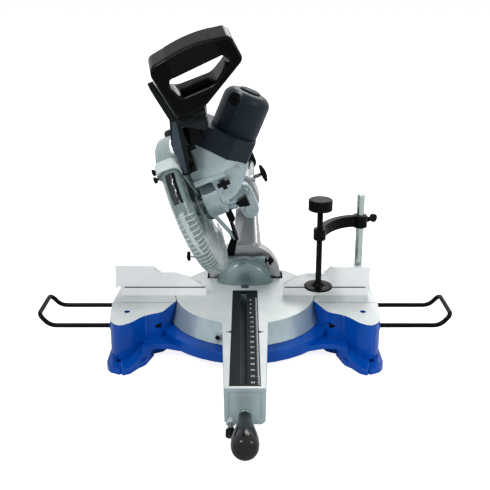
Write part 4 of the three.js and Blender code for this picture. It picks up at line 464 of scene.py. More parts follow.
def circle(radius: float, count: int, u: float = 0.0, v: float = 0.0, flute: float = 0.0) -> list[Corner]:
    """Draw a circle, or a fluted one where every other point lies deeper.

    Args:
        radius: the outer radius in millimetres.
        count: how many points it has.
        u: the middle's first place.
        v: the middle's second place.
        flute: how deep every other point lies.

    Returns:
        The outline's points.
    """
    reach = [radius - (flute if i % 2 else 0.0) for i in range(count)]
    turn = [i * 2 * pi / count for i in range(count)]
    return [(u + r * cos(a), v + r * sin(a)) for r, a in zip(reach, turn)]


def arc(middle: Corner, radius: float, turns: Iterable[float]) -> list[Corner]:
    """Draw part of a circle.

    Args:
        middle: the circle's middle.
        radius: its radius.
        turns: where the points are, in degrees.

    Returns:
        The arc's points.
    """
    u, v = middle
    return [(u + radius * cos(radians(a)), v + radius * sin(radians(a))) for a in turns]


def onto(start: Point, direction: Point) -> Matrix:
    """Give the matrix that carries Z onto a line.

    Args:
        start: a point on the line, where the origin goes.
        direction: where the line points.

    Returns:
        The matrix.
    """
    return Matrix.Translation(
        Vector(start),
    ) @ Vector(direction).to_track_quat("Z", "Y").to_matrix().to_4x4()


def new_object(name: str, data: bpy.types.ID) -> Piece:
    """Make an object and link it to the scene.

    Args:
        name: its name.
        data: its mesh, curve, camera or lamp.

    Returns:
        The object.
    """
    made = bpy.data.objects.new(name, data)
    bpy.context.collection.objects.link(made)
    return made


class Maker:
    """Models pieces with Blender's own operators and seats them on the CAD frame."""

    def __init__(self, frame: dict) -> None:
        """Keep the loaded frame.
        """
        record = frame["record"]
        self.frame = frame
        self.count = 0
        self.body_of = {
            node: body
            for body, nodes in record["behaviour"]["bodies"].items()
            for node in nodes
        }
        self.slot_of = {part["node"]: part["material_slot"] for part in record["subparts"]}

    def pick(self, *objects: Piece) -> None:
        """Deselect everything and select these objects, the first one active.

        Args:
            *objects: what is to be selected.
        """
        if bpy.context.object and bpy.context.object.mode != "OBJECT":
            bpy.ops.object.mode_set(mode="OBJECT")
        bpy.ops.object.select_all(action="DESELECT")
        for each in objects:
            each.select_set(True)
        bpy.context.view_layer.objects.active = objects[0]

    @contextmanager
    def editing(self, piece: Piece) -> Iterator[None]:
        """Hold a piece in edit mode with all of it selected.

        Args:
            piece: the piece.

        Returns:
            The context to edit it in.
        """
        self.pick(piece)
        bpy.ops.object.mode_set(mode="EDIT")
        bpy.ops.mesh.select_all(action="SELECT")
        yield
        bpy.ops.object.mode_set(mode="OBJECT")

    def settle(self, piece: Piece, place: Matrix) -> Piece:
        """Carry a finished piece to its place and leave its object at the origin.

        Args:
            piece: the piece, modelled in millimetres in its own frame.
            place: the frame it was modelled in.

        Returns:
            The same piece.
        """
        return self.turn(piece, place @ Matrix.Scale(MM, 4))

    def tidy(self, piece: Piece) -> Piece:
        """Merge doubles and turn the faces outwards.

        Args:
            piece: the piece.

        Returns:
            The same piece.
        """
        with self.editing(piece):
            bpy.ops.mesh.remove_doubles(threshold=WELD)
            bpy.ops.mesh.normals_make_consistent(inside=False)
        return piece

    def modify(self, piece: Piece, kind: str, **settings: object) -> Piece:
        """Add a modifier, set it and apply it.

        Args:
            piece: the piece.
            kind: the modifier's type.
            **settings: the modifier's values.

        Returns:
            The same piece.
        """
        self.pick(piece)
        modifier = piece.modifiers.new(kind.lower(), kind)
        for key, value in settings.items():
            setattr(modifier, key, value)
        bpy.ops.object.modifier_apply(modifier=modifier.name)
        return piece

    def soften(self, piece: Piece, width: float, segments: int = 2, angle: float = 35.0) -> Piece:
        """Round the piece's sharp edges.

        Args:
            piece: the piece, in millimetres.
            width: the rounding's width in the piece's units.
            segments: steps in the rounding.
            angle: the least angle in degrees that counts as an edge.

        Returns:
            The same piece.
        """
        return self.modify(
            piece, "BEVEL", width=width, segments=segments, limit_method="ANGLE",
            angle_limit=radians(angle), use_clamp_overlap=True,
        )

    def lathe(self, profile: Sequence[Corner], sides: int = 48) -> Piece:
        """Draw a round piece up along Z: a disc that is extruded and resized ring by ring.

        Args:
            profile: radius and height of each ring in millimetres, from the bottom up.
            sides: corners round the piece.

        Returns:
            The piece, open nowhere.
        """
        radius, height = profile[0]
        bpy.ops.mesh.primitive_circle_add(
            vertices=sides, radius=radius, fill_type="NGON", location=(0, 0, height),
        )
        piece = bpy.context.object
        bpy.ops.object.transform_apply(location=True, rotation=True, scale=True)
        with self.editing(piece):
            for wide, high in profile[1:]:
                bpy.ops.mesh.extrude_region_move(TRANSFORM_OT_translate={"value": (0, 0, high - height)})
                if abs(wide - radius) > 1e-6:
                    bpy.ops.transform.resize(
                        value=(wide / radius, wide / radius, 1), center_override=(0, 0, high),
                    )
                radius, height = wide, high
        return self.tidy(piece)

    def _face(self, corners: Sequence[Point]) -> Piece:
        """Draw one face.

        Args:
            corners: its corners in millimetres.

        Returns:
            The face as a piece.
        """
        bpy.ops.mesh.primitive_circle_add(vertices=len(corners), radius=1, fill_type="NGON")
        piece = bpy.context.object
        for vertex, corner in zip(piece.data.vertices, corners):
            vertex.co = corner
        return piece

    def plate(self, outline: Sequence[Corner], low: float, high: float) -> Piece:
        """Draw an outline in X and Y and extrude it from one height to another.

        Args:
            outline: the corners in millimetres.
            low: the lower face's height.
            high: the upper face's height.

        Returns:
            The piece.
        """
        piece = self._face([(x, y, low) for x, y in outline])
        with self.editing(piece):
            bpy.ops.mesh.extrude_region_move(TRANSFORM_OT_translate={"value": (0, 0, high - low)})
        return self.tidy(piece)

    def turn(self, piece: Piece, matrix: Matrix) -> Piece:
        """Carry a piece by a matrix and keep its object at the origin.

        Args:
            piece: the piece.
            matrix: where it goes.

        Returns:
            The same piece.
        """
        self.pick(piece)
        piece.matrix_world = matrix
        bpy.ops.object.transform_apply(location=True, rotation=True, scale=True)
        return piece

    def across(self, outline: Sequence[Corner], left: float, right: float) -> Piece:
        """Draw an outline in Y and Z and carry it along X from left to right."""
        return self.turn(self.plate(outline, left, right), ALONG_X)

    def deep(self, outline: Sequence[Corner], front: float, back: float) -> Piece:
        """Draw an outline in X and Z and carry it along Y from front to back."""
        return self.turn(self.plate(outline, -back, -front), ALONG_Y)

    def swept(self, profile: Sequence[Corner], start: float, end: float, steps: int, axis: Point) -> Piece:
        """Spin a closed profile of (x, radius) about an axis that runs along X.

        Args:
            profile: the profile's corners in millimetres.
            start: the first angle in degrees, from +Y towards +Z.
            end: the last angle in degrees.
            steps: straight pieces along the arc.
            axis: a point on the axis, in millimetres.

        Returns:
            The piece, closed at both ends.
        """
        piece = self._face([(x, reach, 0) for x, reach in profile])
        with self.editing(piece):
            bpy.ops.mesh.spin(steps=steps, angle=-radians(end - start), center=(0, 0, 0), axis=(1, 0, 0))
        self.turn(piece, Matrix.Translation(Vector(axis)) @ Matrix.Rotation(radians(start), 4, "X"))
        return self.tidy(piece)

    def loft(self, rings: Sequence[Sequence[Point]]) -> Piece:
        """Skin a row of rings that have the same number of corners, with a cap at each end.

        Args:
            rings: each ring's corners in millimetres, all in the same turning direction.

        Returns:
            The piece.
        """
        count = len(rings[0])
        faces: list[list[int]] = [list(range(count)), [len(rings) * count - 1 - i for i in range(count)]]
        for row in range(len(rings) - 1):
            for i in range(count):
                after = (i + 1) % count
                faces.append(
                    [
                        row * count + i, row * count + after, (row + 1) * count + after,
                        (row + 1) * count + i,
                    ],
                )
        mesh = bpy.data.meshes.new("loft")
        mesh.from_pydata([tuple(point) for ring in rings for point in ring], [], faces)
        piece = new_object("loft", mesh)
        return self.tidy(piece)

    def wrap(self, first: Piece, *others: Piece) -> Piece:
        """Stretch one skin round several pieces.

        Args:
            first: the first piece.
            *others: the rest; all are used up.

        Returns:
            The skin.
        """
        piece = self.merge(first, *others)
        with self.editing(piece):
            bpy.ops.mesh.convex_hull()
            bpy.ops.mesh.dissolve_limited(angle_limit=radians(1.0))
        return piece

    def trim(self, piece: Piece, place: Point, normal: Point) -> Piece:
        """Cut away what lies beyond a plane and close the cut.

        Args:
            piece: the piece.
            place: a point on the plane, in millimetres.
            normal: where the plane faces; that side is cut away.

        Returns:
            The same piece.
        """
        with self.editing(piece):
            bpy.ops.mesh.bisect(plane_co=place, plane_no=normal, use_fill=True, clear_outer=True)
        return piece

    def swell(self, piece: Piece, depth: float) -> Piece:
        """Push a piece's skin outwards.

        Args:
            piece: the piece.
            depth: how far, in millimetres.

        Returns:
            The same piece.
        """
        with self.editing(piece):
            bpy.ops.transform.shrink_fatten(value=depth)
        return piece

    def copies(self, piece: Piece, places: Iterable[Matrix]) -> Piece:
        """Copy a piece with its own mesh to each place and gather the copies.

        Args:
            piece: the piece that is repeated; it is used up.
            places: where each copy goes.

        Returns:
            One object with all the copies.
        """
        made = []
        for place in places:
            copy = new_object(piece.name, piece.data.copy())
            made.append(self.turn(copy, place))
        bpy.data.objects.remove(piece, do_unlink=True)
        return self.merge(*made) if len(made) > 1 else made[0]

    def block(self, low: Point, high: Point) -> Piece:
        """Draw a box between two corners.

        Args:
            low: the corner with the least places, in millimetres.
            high: the corner with the greatest.

        Returns:
            The box.
        """
        bpy.ops.mesh.primitive_cube_add(size=1)
        piece = bpy.context.object
        for vertex in piece.data.vertices:
            vertex.co = [high[i] if vertex.co[i] > 0 else low[i] for i in range(3)]
        return piece

    def rod(self, start: Point, end: Point, radius: float, sides: int = 24) -> Piece:
        """Draw a round bar between two points.

        Args:
            start: the first end in millimetres.
            end: the second end in millimetres.
            radius: the bar's radius.
            sides: corners round it.

        Returns:
            The piece.
        """
        first, last = Vector(start), Vector(end)
        span = last - first
        bpy.ops.mesh.primitive_cone_add(
            vertices=sides, radius1=radius, radius2=radius, depth=span.length, end_fill_type="NGON",
        )
        return self.turn(bpy.context.object, onto((first + last) / 2, span))

    def aim(self, piece: Piece, start: Point, direction: Point) -> Piece:
        """Turn a piece drawn along Z onto a line.

        Args:
            piece: the piece.
            start: where its origin goes, in millimetres.
            direction: where its Z axis points.

        Returns:
            The same piece.
        """
        return self.turn(piece, onto(start, direction))

    def wire(
        self, points: Sequence[Point], radius: float, corner: float, sides: int, steps: int = 8,
    ) -> Piece:
        """Bend a round wire through points, with round corners where asked.

        Args:
            points: the wire's corners in millimetres.
            radius: the wire's radius.
            corner: how far from each corner its bend starts.
            sides: a quarter of the corners round the wire, less one.
            steps: straight pieces in each bend.

        Returns:
            The wire as a mesh with closed ends.
        """
        path: list[Vector] = []
        whole = [Vector(p) for p in points]
        for i, here in enumerate(whole):
            if 0 < i < len(whole) - 1:
                before = here + (whole[i - 1] - here).normalized() * corner
                after = here + (whole[i + 1] - here).normalized() * corner
                path += bend(before, here, after, steps)
            else:
                path.append(here)
        curve = bpy.data.curves.new("wire", "CURVE")
        curve.dimensions = "3D"
        spline = curve.splines.new("POLY")
        spline.points.add(len(path) - 1)
        for point, place in zip(spline.points, path):
            point.co = (*place, 1)
        curve.bevel_depth = radius
        curve.bevel_resolution = sides
        curve.use_fill_caps = True
        piece = new_object("wire", curve)
        self.pick(piece)
        bpy.ops.object.convert(target="MESH")
        return self.tidy(bpy.context.object)

    def merge(self, first: Piece, *others: Piece) -> Piece:
        """Gather pieces into one object without cutting them.

        Args:
            first: the first piece.
            *others: the rest; all are used up.

        Returns:
            The one object.
        """
        self.pick(first, *others)
        bpy.ops.object.join()
        return bpy.context.object

    def fuse(self, body: Piece, tool: Piece, how: str = "UNION", twisted: bool = False) -> Piece:
        """Join a tool to a body, or cut it out, and delete the tool.

        Args:
            body: the piece that is kept.
            tool: the piece that is used up.
            how: UNION, DIFFERENCE or INTERSECT.
            twisted: True where a piece has faces that aren't flat.

        Returns:
            The body.
        """
        self.modify(body, "BOOLEAN", object=tool, operation=how, solver="EXACT", use_self=twisted)
        bpy.data.objects.remove(tool, do_unlink=True)
        return body

    def refined(self, node: str, rounding: float, merge_flat: float = 1.0) -> Piece:
        """Copy a CAD node, merge its facets and round its edges.

        Args:
            node: the node's name.
            rounding: width of the rounded edges in millimetres, or 0.
            merge_flat: facets within this many degrees of one plane become one face.

        Returns:
            The copy, in metres and in place.
        """
        source = self.frame["nodes"][node]
        piece = new_object("refined_" + node, source.data.copy())
        piece.matrix_world = WORLD
        with self.editing(piece):
            bpy.ops.mesh.remove_doubles(threshold=CAD_WELD)
            bpy.ops.mesh.dissolve_limited(angle_limit=radians(merge_flat))
        if rounding:
            self.soften(piece, rounding * MM, segments=3)
        return piece

    def cast(
        self, node: str, finish: Finish, rounding: float, milled: Optional[tuple[Finish, Test]] = None,
    ) -> Piece:
        """Round a CAD node's edges, dress the copy and let it stand for the node.

        Args:
            node: the node's name.
            finish: the copy's finish.
            rounding: width of the rounded edges in millimetres.
            milled: a second finish and a test on a face's normal and middle that says where it goes.

        Returns:
            The dressed copy.
        """
        piece = self.refined(node, rounding)
        self.stand(piece, "shown_" + node, finish, node)
        if milled:
            piece.data.materials.append(milled[0].material())
            for face in piece.data.polygons:
                if milled[1](face.normal, face.center):
                    face.material_index = 1
        return piece

    def cast_all(self, rows: Iterable[tuple[str, Finish, float]]) -> None:
        """Cast several nodes.

        Args:
            rows: each node's name, its finish and the width of its rounded edges in millimetres.
        """
        for node, finish, rounding in rows:
            self.cast(node, finish, rounding)

    def stand(
        self, piece: Piece, name: str, finish: Finish, node: str, smooth: float = 35.0,
        weighted: bool = True,
    ) -> Piece:
        """Dress a piece on a node's body and let it stand for that node.

        Args:
            piece: the finished piece.
            name: its name.
            finish: its finish.
            node: the CAD node.
            smooth: the angle in degrees above which an edge stays sharp.
            weighted: whether large faces pull the normals, which keeps them flat.

        Returns:
            The same piece.
        """
        return self.dress(
            piece, name, finish, self.body_of[node], [node], self.slot_of[node], smooth, weighted,
        )

    def dress(
        self, piece: Piece, name: str, finish: Finish, body: str, nodes: Iterable[str] = (),
        slot: Optional[str] = None, smooth: float = 35.0, weighted: bool = True,
    ) -> Piece:
        """Name a piece, give it its finish and seat it on its body.

        Args:
            piece: the finished piece.
            name: its name.
            finish: its finish.
            body: the CAD body it rides on.
            nodes: CAD nodes that it stands for.
            slot: the record's material slot; not used.
            smooth: the angle in degrees above which an edge stays sharp.
            weighted: whether large faces pull the normals, which keeps them flat.

        Returns:
            The same piece.
        """
        if not piece.data.polygons:
            raise ValueError(f"{name} has no faces")
        self.pick(piece)
        bpy.ops.object.shade_smooth_by_angle(angle=radians(smooth))
        if weighted:
            self.modify(piece, "WEIGHTED_NORMAL", keep_sharp=True)
        piece.name = piece.data.name = name
        piece.data.materials.clear()
        piece.data.materials.append(finish.material())
        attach(piece, body)
        nodes = list(nodes)
        if nodes:
            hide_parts(*nodes)
        self.count += 1
        LOG.info("%s on %s, %d faces", name, body, len(piece.data.polygons))
        return piece


@dataclass
class Studio:
    """The camera at the photograph's angle, soft lamps and a pale floor."""

    eye: Place = (0.0, -1.4287, 0.74804)
    pitch: float = 16.376
    lens: float = 52.9
    shift: float = -0.12
    sensor: float = 36.0
    sees: Corner = (0.05, 50.0)
    lamps: tuple[tuple[str, Point, Point, float, float], ...] = (
        ("key", (-1.3, -1.7, 2.2), (0, -0.1, 0.2), 0.7, 27),
        ("fill", (1.9, -1.3, 1.5), (0, 0, 0.2), 0.8, 15),
        ("rim", (0.6, 1.9, 2.0), (0, 0, 0.3), 1.2, 26),
    )
    sky: tuple[float, ...] = (0.92, 0.96, 1, 1)
    sky_light: float = 0.46
    white: tuple[float, ...] = (1, 1, 1, 1)
    floor_size: float = 30.0
    floor_low: float = -0.0005
    floor_grey: float = 0.9
    floor_glow: float = 0.86

    def build(self) -> None:
        """Make the camera, the lamps, the world and the floor."""
        camera = new_object("camera", bpy.data.cameras.new("camera"))
        camera.location = self.eye
        camera.rotation_euler = (radians(90 - self.pitch), 0, 0)
        camera.data.lens = self.lens
        camera.data.sensor_width = self.sensor
        camera.data.shift_y = self.shift
        camera.data.clip_start, camera.data.clip_end = self.sees
        bpy.context.scene.camera = camera
        bpy.context.scene.view_settings.view_transform = "Standard"
        for name, place, aim, size, power in self.lamps:
            lamp = new_object(name, bpy.data.lights.new(name, "AREA"))
            lamp.data.size = size
            lamp.data.energy = power
            lamp.location = place
            lamp.rotation_euler = (Vector(aim) - Vector(place)).to_track_quat("-Z", "Y").to_euler()
        self._world()
        self._floor()

    def _world(self) -> None:
        """Light the scene evenly and show white behind it."""
        world = bpy.data.worlds.new("studio")
        bpy.context.scene.world = world
        world.use_nodes = True
        tree = world.node_tree
        tree.nodes.clear()
        seen = add_node(tree, "ShaderNodeLightPath")
        either = add_node(
            tree, "ShaderNodeMath", {"operation": "MAXIMUM"},
            {0: seen.outputs["Is Camera Ray"], 1: seen.outputs["Is Transmission Ray"]},
        )
        either = add_node(
            tree, "ShaderNodeMath", {"operation": "MAXIMUM"},
            {0: either.outputs[0], 1: seen.outputs["Is Glossy Ray"]},
        )
        lit = add_node(tree, "ShaderNodeBackground", {"Color": self.sky, "Strength": self.sky_light})
        shown = add_node(tree, "ShaderNodeBackground", {"Color": self.white, "Strength": 1.0})
        mixed = add_node(
            tree, "ShaderNodeMixShader", {}, {0: either.outputs[0], 1: lit.outputs[0], 2: shown.outputs[0]},
        )
        add_node(tree, "ShaderNodeOutputWorld", {}, {"Surface": mixed.outputs[0]})

    def _floor(self) -> None:
        """Lay a wide white floor that keeps the saw's shadow."""
        bpy.ops.mesh.primitive_plane_add(size=self.floor_size, location=(0, 0, self.floor_low))
        floor = bpy.context.object
        floor.name = "floor"
        material = bpy.data.materials.new("floor_white")
        material.use_nodes = True
        tree = material.node_tree
        tree.nodes.clear()
        seen = add_node(tree, "ShaderNodeLightPath")
        matt = add_node(
            tree, "ShaderNodeBsdfDiffuse", {"Color": (self.floor_grey, self.floor_grey, self.floor_grey, 1)},
        )
        glow = add_node(tree, "ShaderNodeEmission", {"Color": self.white, "Strength": self.floor_glow})
        both = add_node(tree, "ShaderNodeAddShader", {}, {0: matt.outputs[0], 1: glow.outputs[0]})
        pick = add_node(
            tree, "ShaderNodeMixShader", {},
            {0: seen.outputs["Is Camera Ray"], 1: matt.outputs[0], 2: both.outputs[0]},
        )
        add_node(tree, "ShaderNodeOutputMaterial", {}, {"Surface": pick.outputs[0]})
        floor.data.materials.append(material)


def milled_top(normal: Vector, middle: Vector) -> bool:
    """Tell the milled faces at the table's height from the cast ones.

    Args:
        normal: the face's normal.
        middle: the face's middle in metres.

    Returns:
        Whether the face looks up at the table's height.
    """
    return normal.z > FLAT and middle.z > TABLE_TOP - MILLED_SLACK


@dataclass(frozen=True)
class Knob:
    """The measures of a lobed knob on a screw that points to the back, in millimetres."""

    tip: Place
    length: float
    thick: float
    lobes: int
    grip: float = 9.0
    stem: float = 3.0
    lobe_depth: float = 0.13
    edge: float = 1.6
    overlap: float = 0.5
    pitch: float = 1.0
    groove: float = 0.35


@dataclass
class Base:
    """The enamelled base with its milled wing tops, and the fences that stand on them."""

    make: Maker
    fence_face: float = -20.0
    face_slack: float = 0.5
    fence_knob: Knob = Knob((205.0, -14.0, 100.3), length=37.0, thick=10.0, lobes=6)
    bar_screw: Knob = Knob((225.0, 1.05, 61.0), length=31.25, thick=8.0, lobes=4)
    # Height of the seam between each fence's halves, and the dark strip of painted shadow laid in it.
    seam: Corner = (109.0, 110.9)
    strip_proud: float = 0.25
    strip_deep: float = 1.0
    strip_from: float = 84.0
    strip_to: float = 256.0
    web_rise: float = 1.5
    web_edge: float = 2.0
    web: tuple[tuple[Corner, Corner, float, float], ...] = (
        ((182.0, -130.5), (193.0, -104.0), 25.3, 36.6),
        ((191.0, -137.0), (205.0, -110.0), 14.0, 33.0),
        ((200.8, -147.0), (216.0, -121.0), 0.3, 27.5),
        ((210.5, -166.0), (225.0, -135.0), 0.3, 20.5),
        ((223.5, -185.5), (236.0, -146.0), 0.3, 14.6),
        ((238.0, -192.5), (248.0, -152.0), 0.3, 12.8),
    )

    def build(self) -> None:
        """Make the base, the fences and the knobs behind them."""
        self.make.cast("base_casting", BASE_ENAMEL, 2.4, milled=(MILLED_TOP, milled_top))
        for node in ("fence_fixed_right", "fence_fixed_left", "fence_slide_right", "fence_slide_left"):
            # the front faces take the paler finish, painted light on the upright faces
            self.make.cast(node, FENCE_CASTING, 0.7, milled=(FENCE_FACE_PAINTED_LIGHT, self._front))
        for side, sign in SIDES:
            self._knob(f"fence_knob_{side}", self.fence_knob, sign)
            self._knob(f"bar_screw_{side}", self.bar_screw, sign)
        self._strips()
        self._webs()

    def _webs(self) -> None:
        """Slope a web from the ledge below each wing down to the front foot."""
        make = self.make
        for side, sign in SIDES:
            rings = []
            for (front_x, front_y), (back_x, back_y), low, high in self.web:
                rings.append([
                    (sign * front_x, front_y, low), (sign * front_x, front_y, high),
                    (sign * back_x, back_y, high + self.web_rise), (sign * back_x, back_y, low),
                ])
            piece = make.loft(rings[::sign])
            make.soften(piece, self.web_edge, segments=3, angle=40)
            make.dress(
                make.settle(piece, WORLD), f"foot_web_{side}", BASE_ENAMEL, make.body_of["base_casting"],
                smooth=40,
            )

    def _strips(self) -> None:
        """Lay a dark strip of painted shadow in the seam between each fence's halves."""
        make = self.make
        low, high = self.seam
        for side, sign in SIDES:
            ends = sorted((sign * self.strip_from, sign * self.strip_to))
            front, back = self.fence_face - self.strip_proud, self.fence_face + self.strip_deep
            strip = make.block((ends[0], front, low), (ends[1], back, high))
            make.dress(
                make.settle(strip, WORLD), f"fence_seam_shadow_{side}", BLACK_ABS,
                make.body_of[f"fence_fixed_{side}"],
            )

    def _front(self, normal: Vector, middle: Vector) -> bool:
        """Tell the fence's milled front face, which takes the paler painted-light finish, from its cast
        sides.
        """
        return normal.y < -FLAT and middle.y < (self.fence_face + self.face_slack) * MM

    def _knob(self, node: str, knob: Knob, sign: int) -> None:
        """Model a lobed knob on its screw.

        Args:
            node: the CAD node it stands for.
            knob: its measures on the right side.
            sign: 1 on the right, -1 on the left.
        """
        make = self.make
        x, y, z = knob.tip
        end = knob.length + knob.thick
        turns = [i * 2 * pi / 96 for i in range(96)]
        reach = [knob.grip * (1 - knob.lobe_depth * (1 - cos(knob.lobes * a))) for a in turns]
        grip = make.plate([(r * cos(a), r * sin(a)) for r, a in zip(reach, turns)], knob.length, end)
        make.soften(grip, knob.edge, segments=3, angle=50)
        dimple = make.lathe([(3.2, end - 0.2), (3.2, end + 0.05), (2.4, end - 0.6)], 24)
        grip = make.merge(grip, dimple)
        make.aim(grip, (sign * x, y, z), (0, 1, 0))
        make.stand(make.settle(grip, WORLD), "grip_" + node, BLACK_ABS, node)
        stem = make.lathe(
            thread_profile(knob.stem, 0.0, knob.length + knob.overlap, knob.pitch, knob.groove), 20,
        )
        make.aim(stem, (sign * x, y, z), (0, 1, 0))
        make.dress(make.settle(stem, WORLD), "stem_" + node, ZINC_STEEL, make.body_of[node], smooth=50)


def thread_profile(radius: float, low: float, high: float, pitch: float, depth: float) -> list[Corner]:
    """Draw a screw thread's outline as ridges, pointed at both ends.

    Args:
        radius: the ridges' radius in millimetres.
        low: the first height.
        high: the last height.
        pitch: the distance from ridge to ridge.
        depth: how deep the grooves are.

    Returns:
        Radius and height of each ring, from the bottom up.
    """
    count = max(1, int((high - low) / pitch))
    step = (high - low) / count
    profile = [(radius - depth, low)]
    for i in range(count):
        profile += [(radius, low + (i + 0.5) * step), (radius - depth, low + (i + 1) * step)]
    return profile


@dataclass
class SideBars:
    """The bent black bars that carry long work on each side."""

    make: Maker
    radius: float = 4.75
    inner: float = 172.0
    straight: float = 398.0
    end: float = 419.25
    low: float = 61.0
    rise: float = 24.0
    front: float = -98.0
    rear: float = -4.0
    bend: float = 14.0
    clearance: float = 0.02
    tip_edge: float = 1.0

    def build(self) -> None:
        """Bend one bar on each side, with a rounded tip at each end."""
        for side, sign in SIDES:
            high = self.low + self.rise
            corners = [
                (sign * self.inner, self.rear, self.low),
                (sign * self.straight, self.rear, self.low),
                (sign * self.end, self.rear, high),
                (sign * self.end, self.front, high),
                (sign * self.straight, self.front, self.low),
                (sign * self.inner, self.front, self.low),
            ]
            piece = self.make.wire(corners, self.radius - self.clearance, corner=self.bend, sides=5)
            self.make.soften(piece, self.tip_edge, segments=3, angle=60)
            self.make.settle(piece, WORLD)
            node = f"extension_bar_{side}"
            self.make.stand(piece, "bent_" + node, BLACK_LACQUER, node)


@dataclass
class Turntable:
    """The mitre table with its arm, the kerf insert and its printed scale, and the index pointer."""

    make: Maker
    top: float = 90.0
    fence_face: float = -20.0
    numbers: tuple[int, int, int] = (2, 34, 2)
    digit: float = 7.6
    digit_middle: float = 0.36
    digits_x: float = 9.4
    ticks: tuple[int, int] = (10, 348)
    ticks_x: float = 24.6
    ticks_long: Place = (4.2, 3.0, 2.0)
    ticks_half: Corner = (0.32, 0.2)
    print_high: float = 0.06
    pointer: Place = (-53.6, -155.6, 64.0)
    pointer_faces: Place = (-0.33, -0.94, -0.1)
    channel_y: Corner = (-362.0, -6.0)
    channel_z: Corner = (66.0, 67.6)
    channel_half: float = 22.0
    channel_edge: float = 0.4
    pointer_head: Outline = ((5.0, 0), (5.0, 0.8), (4.2, 1.0), (4.0, 2.4), (3.2, 3.4), (1.4, 3.9))
    cross: tuple[float, ...] = (2.6, 0.5, 2.6, 5.0)
    flat_head: Outline = ((0.4, -0.6), (2.9, -0.35), (2.9, 0.12), (2.5, 0.2))
    flat_slot: tuple[float, ...] = (2.2, 0.35, -0.1, 0.6)
    flat_at: Outline = ((-21, -352), (20.5, -352), (-21, -178), (20.5, -178), (-21, -8))

    def build(self) -> None:
        """Make the table, the insert, the scale and the pointer."""
        make = self.make
        make.cast("turntable_casting", CAST_SILVER, 1.6, milled=(MILLED_TOP, milled_top))
        make.cast("kerf_insert", INSERT_BOARD, 0.35)
        self._scale()
        make.cast("mitre_pointer", CLEAR_PLASTIC, 0.3)
        self._pointer_screw()
        self._channel()
        self._insert_screws()

    def _scale(self) -> None:
        """Print the centimetre numbers and the millimetre ticks on the insert."""
        make = self.make
        signs = []
        first, last, step = self.numbers
        for number in range(first, last + 1, step):
            y = self.fence_face - 10 * number - self.digit * self.digit_middle
            bpy.ops.object.text_add(location=(self.digits_x, y, self.top + self.print_high))
            sign = bpy.context.object
            sign.data.body = str(number)
            sign.data.size = self.digit
            sign.data.extrude = self.print_high / 2
            make.pick(sign)
            bpy.ops.object.convert(target="MESH")
            signs.append(make.turn(bpy.context.object, bpy.context.object.matrix_world.copy()))
        low, high = self.top, self.top + 2 * self.print_high
        tens, fives, ones = self.ticks_long
        bold, thin = self.ticks_half
        first, last = self.ticks
        for mark in range(first, last + 1):
            long = tens if mark % 10 == 0 else fives if mark % 5 == 0 else ones
            wide = bold if mark % 10 == 0 else thin
            y = self.fence_face - mark
            signs.append(make.block((self.ticks_x - long, y - wide, low), (self.ticks_x, y + wide, high)))
        piece = make.tidy(make.merge(*signs))
        make.dress(make.settle(piece, WORLD), "centimetre_scale", SCALE_WHITE, "turntable")

    def _pointer_screw(self) -> None:
        """Model the pointer's black cross-slotted screw on its washer."""
        make = self.make
        head = make.lathe(self.pointer_head, 32)
        long, wide, low, high = self.cross
        slot = make.merge(
            make.block((-long, -wide, low), (long, wide, high)),
            make.block((-wide, -long, low), (wide, long, high)),
        )
        make.fuse(head, slot, "DIFFERENCE", twisted=True)
        make.aim(head, self.pointer, self.pointer_faces)
        make.dress(make.settle(head, WORLD), "pointer_screw", BLACK_ABS, "turntable")

    def _channel(self) -> None:
        """Lay the channel's floor under the kerf, where sawdust runs, dark with painted shade."""
        make = self.make
        front, back = self.channel_y
        low, high = self.channel_z
        floor = make.block((-self.channel_half, front, low), (self.channel_half, back, high))
        make.soften(floor, self.channel_edge)
        make.dress(make.settle(floor, WORLD), "kerf_channel", CHANNEL_PAINTED_SHADE, "turntable")

    def _insert_screws(self) -> None:
        """Sink five flat screws into the insert's edges, each with its slot turned another way."""
        make = self.make
        head = make.lathe(self.flat_head, 24)
        long, wide, low, high = self.flat_slot
        make.fuse(head, make.block((-long, -wide, low), (long, wide, high)), "DIFFERENCE")
        places = [
            Matrix.Translation((x, y, self.top)) @ Matrix.Rotation(y, 4, "Z")
            for x, y in self.flat_at
        ]
        piece = make.copies(head, places)
        make.dress(make.settle(piece, WORLD), "insert_screws", BLACK_ABS, "turntable")


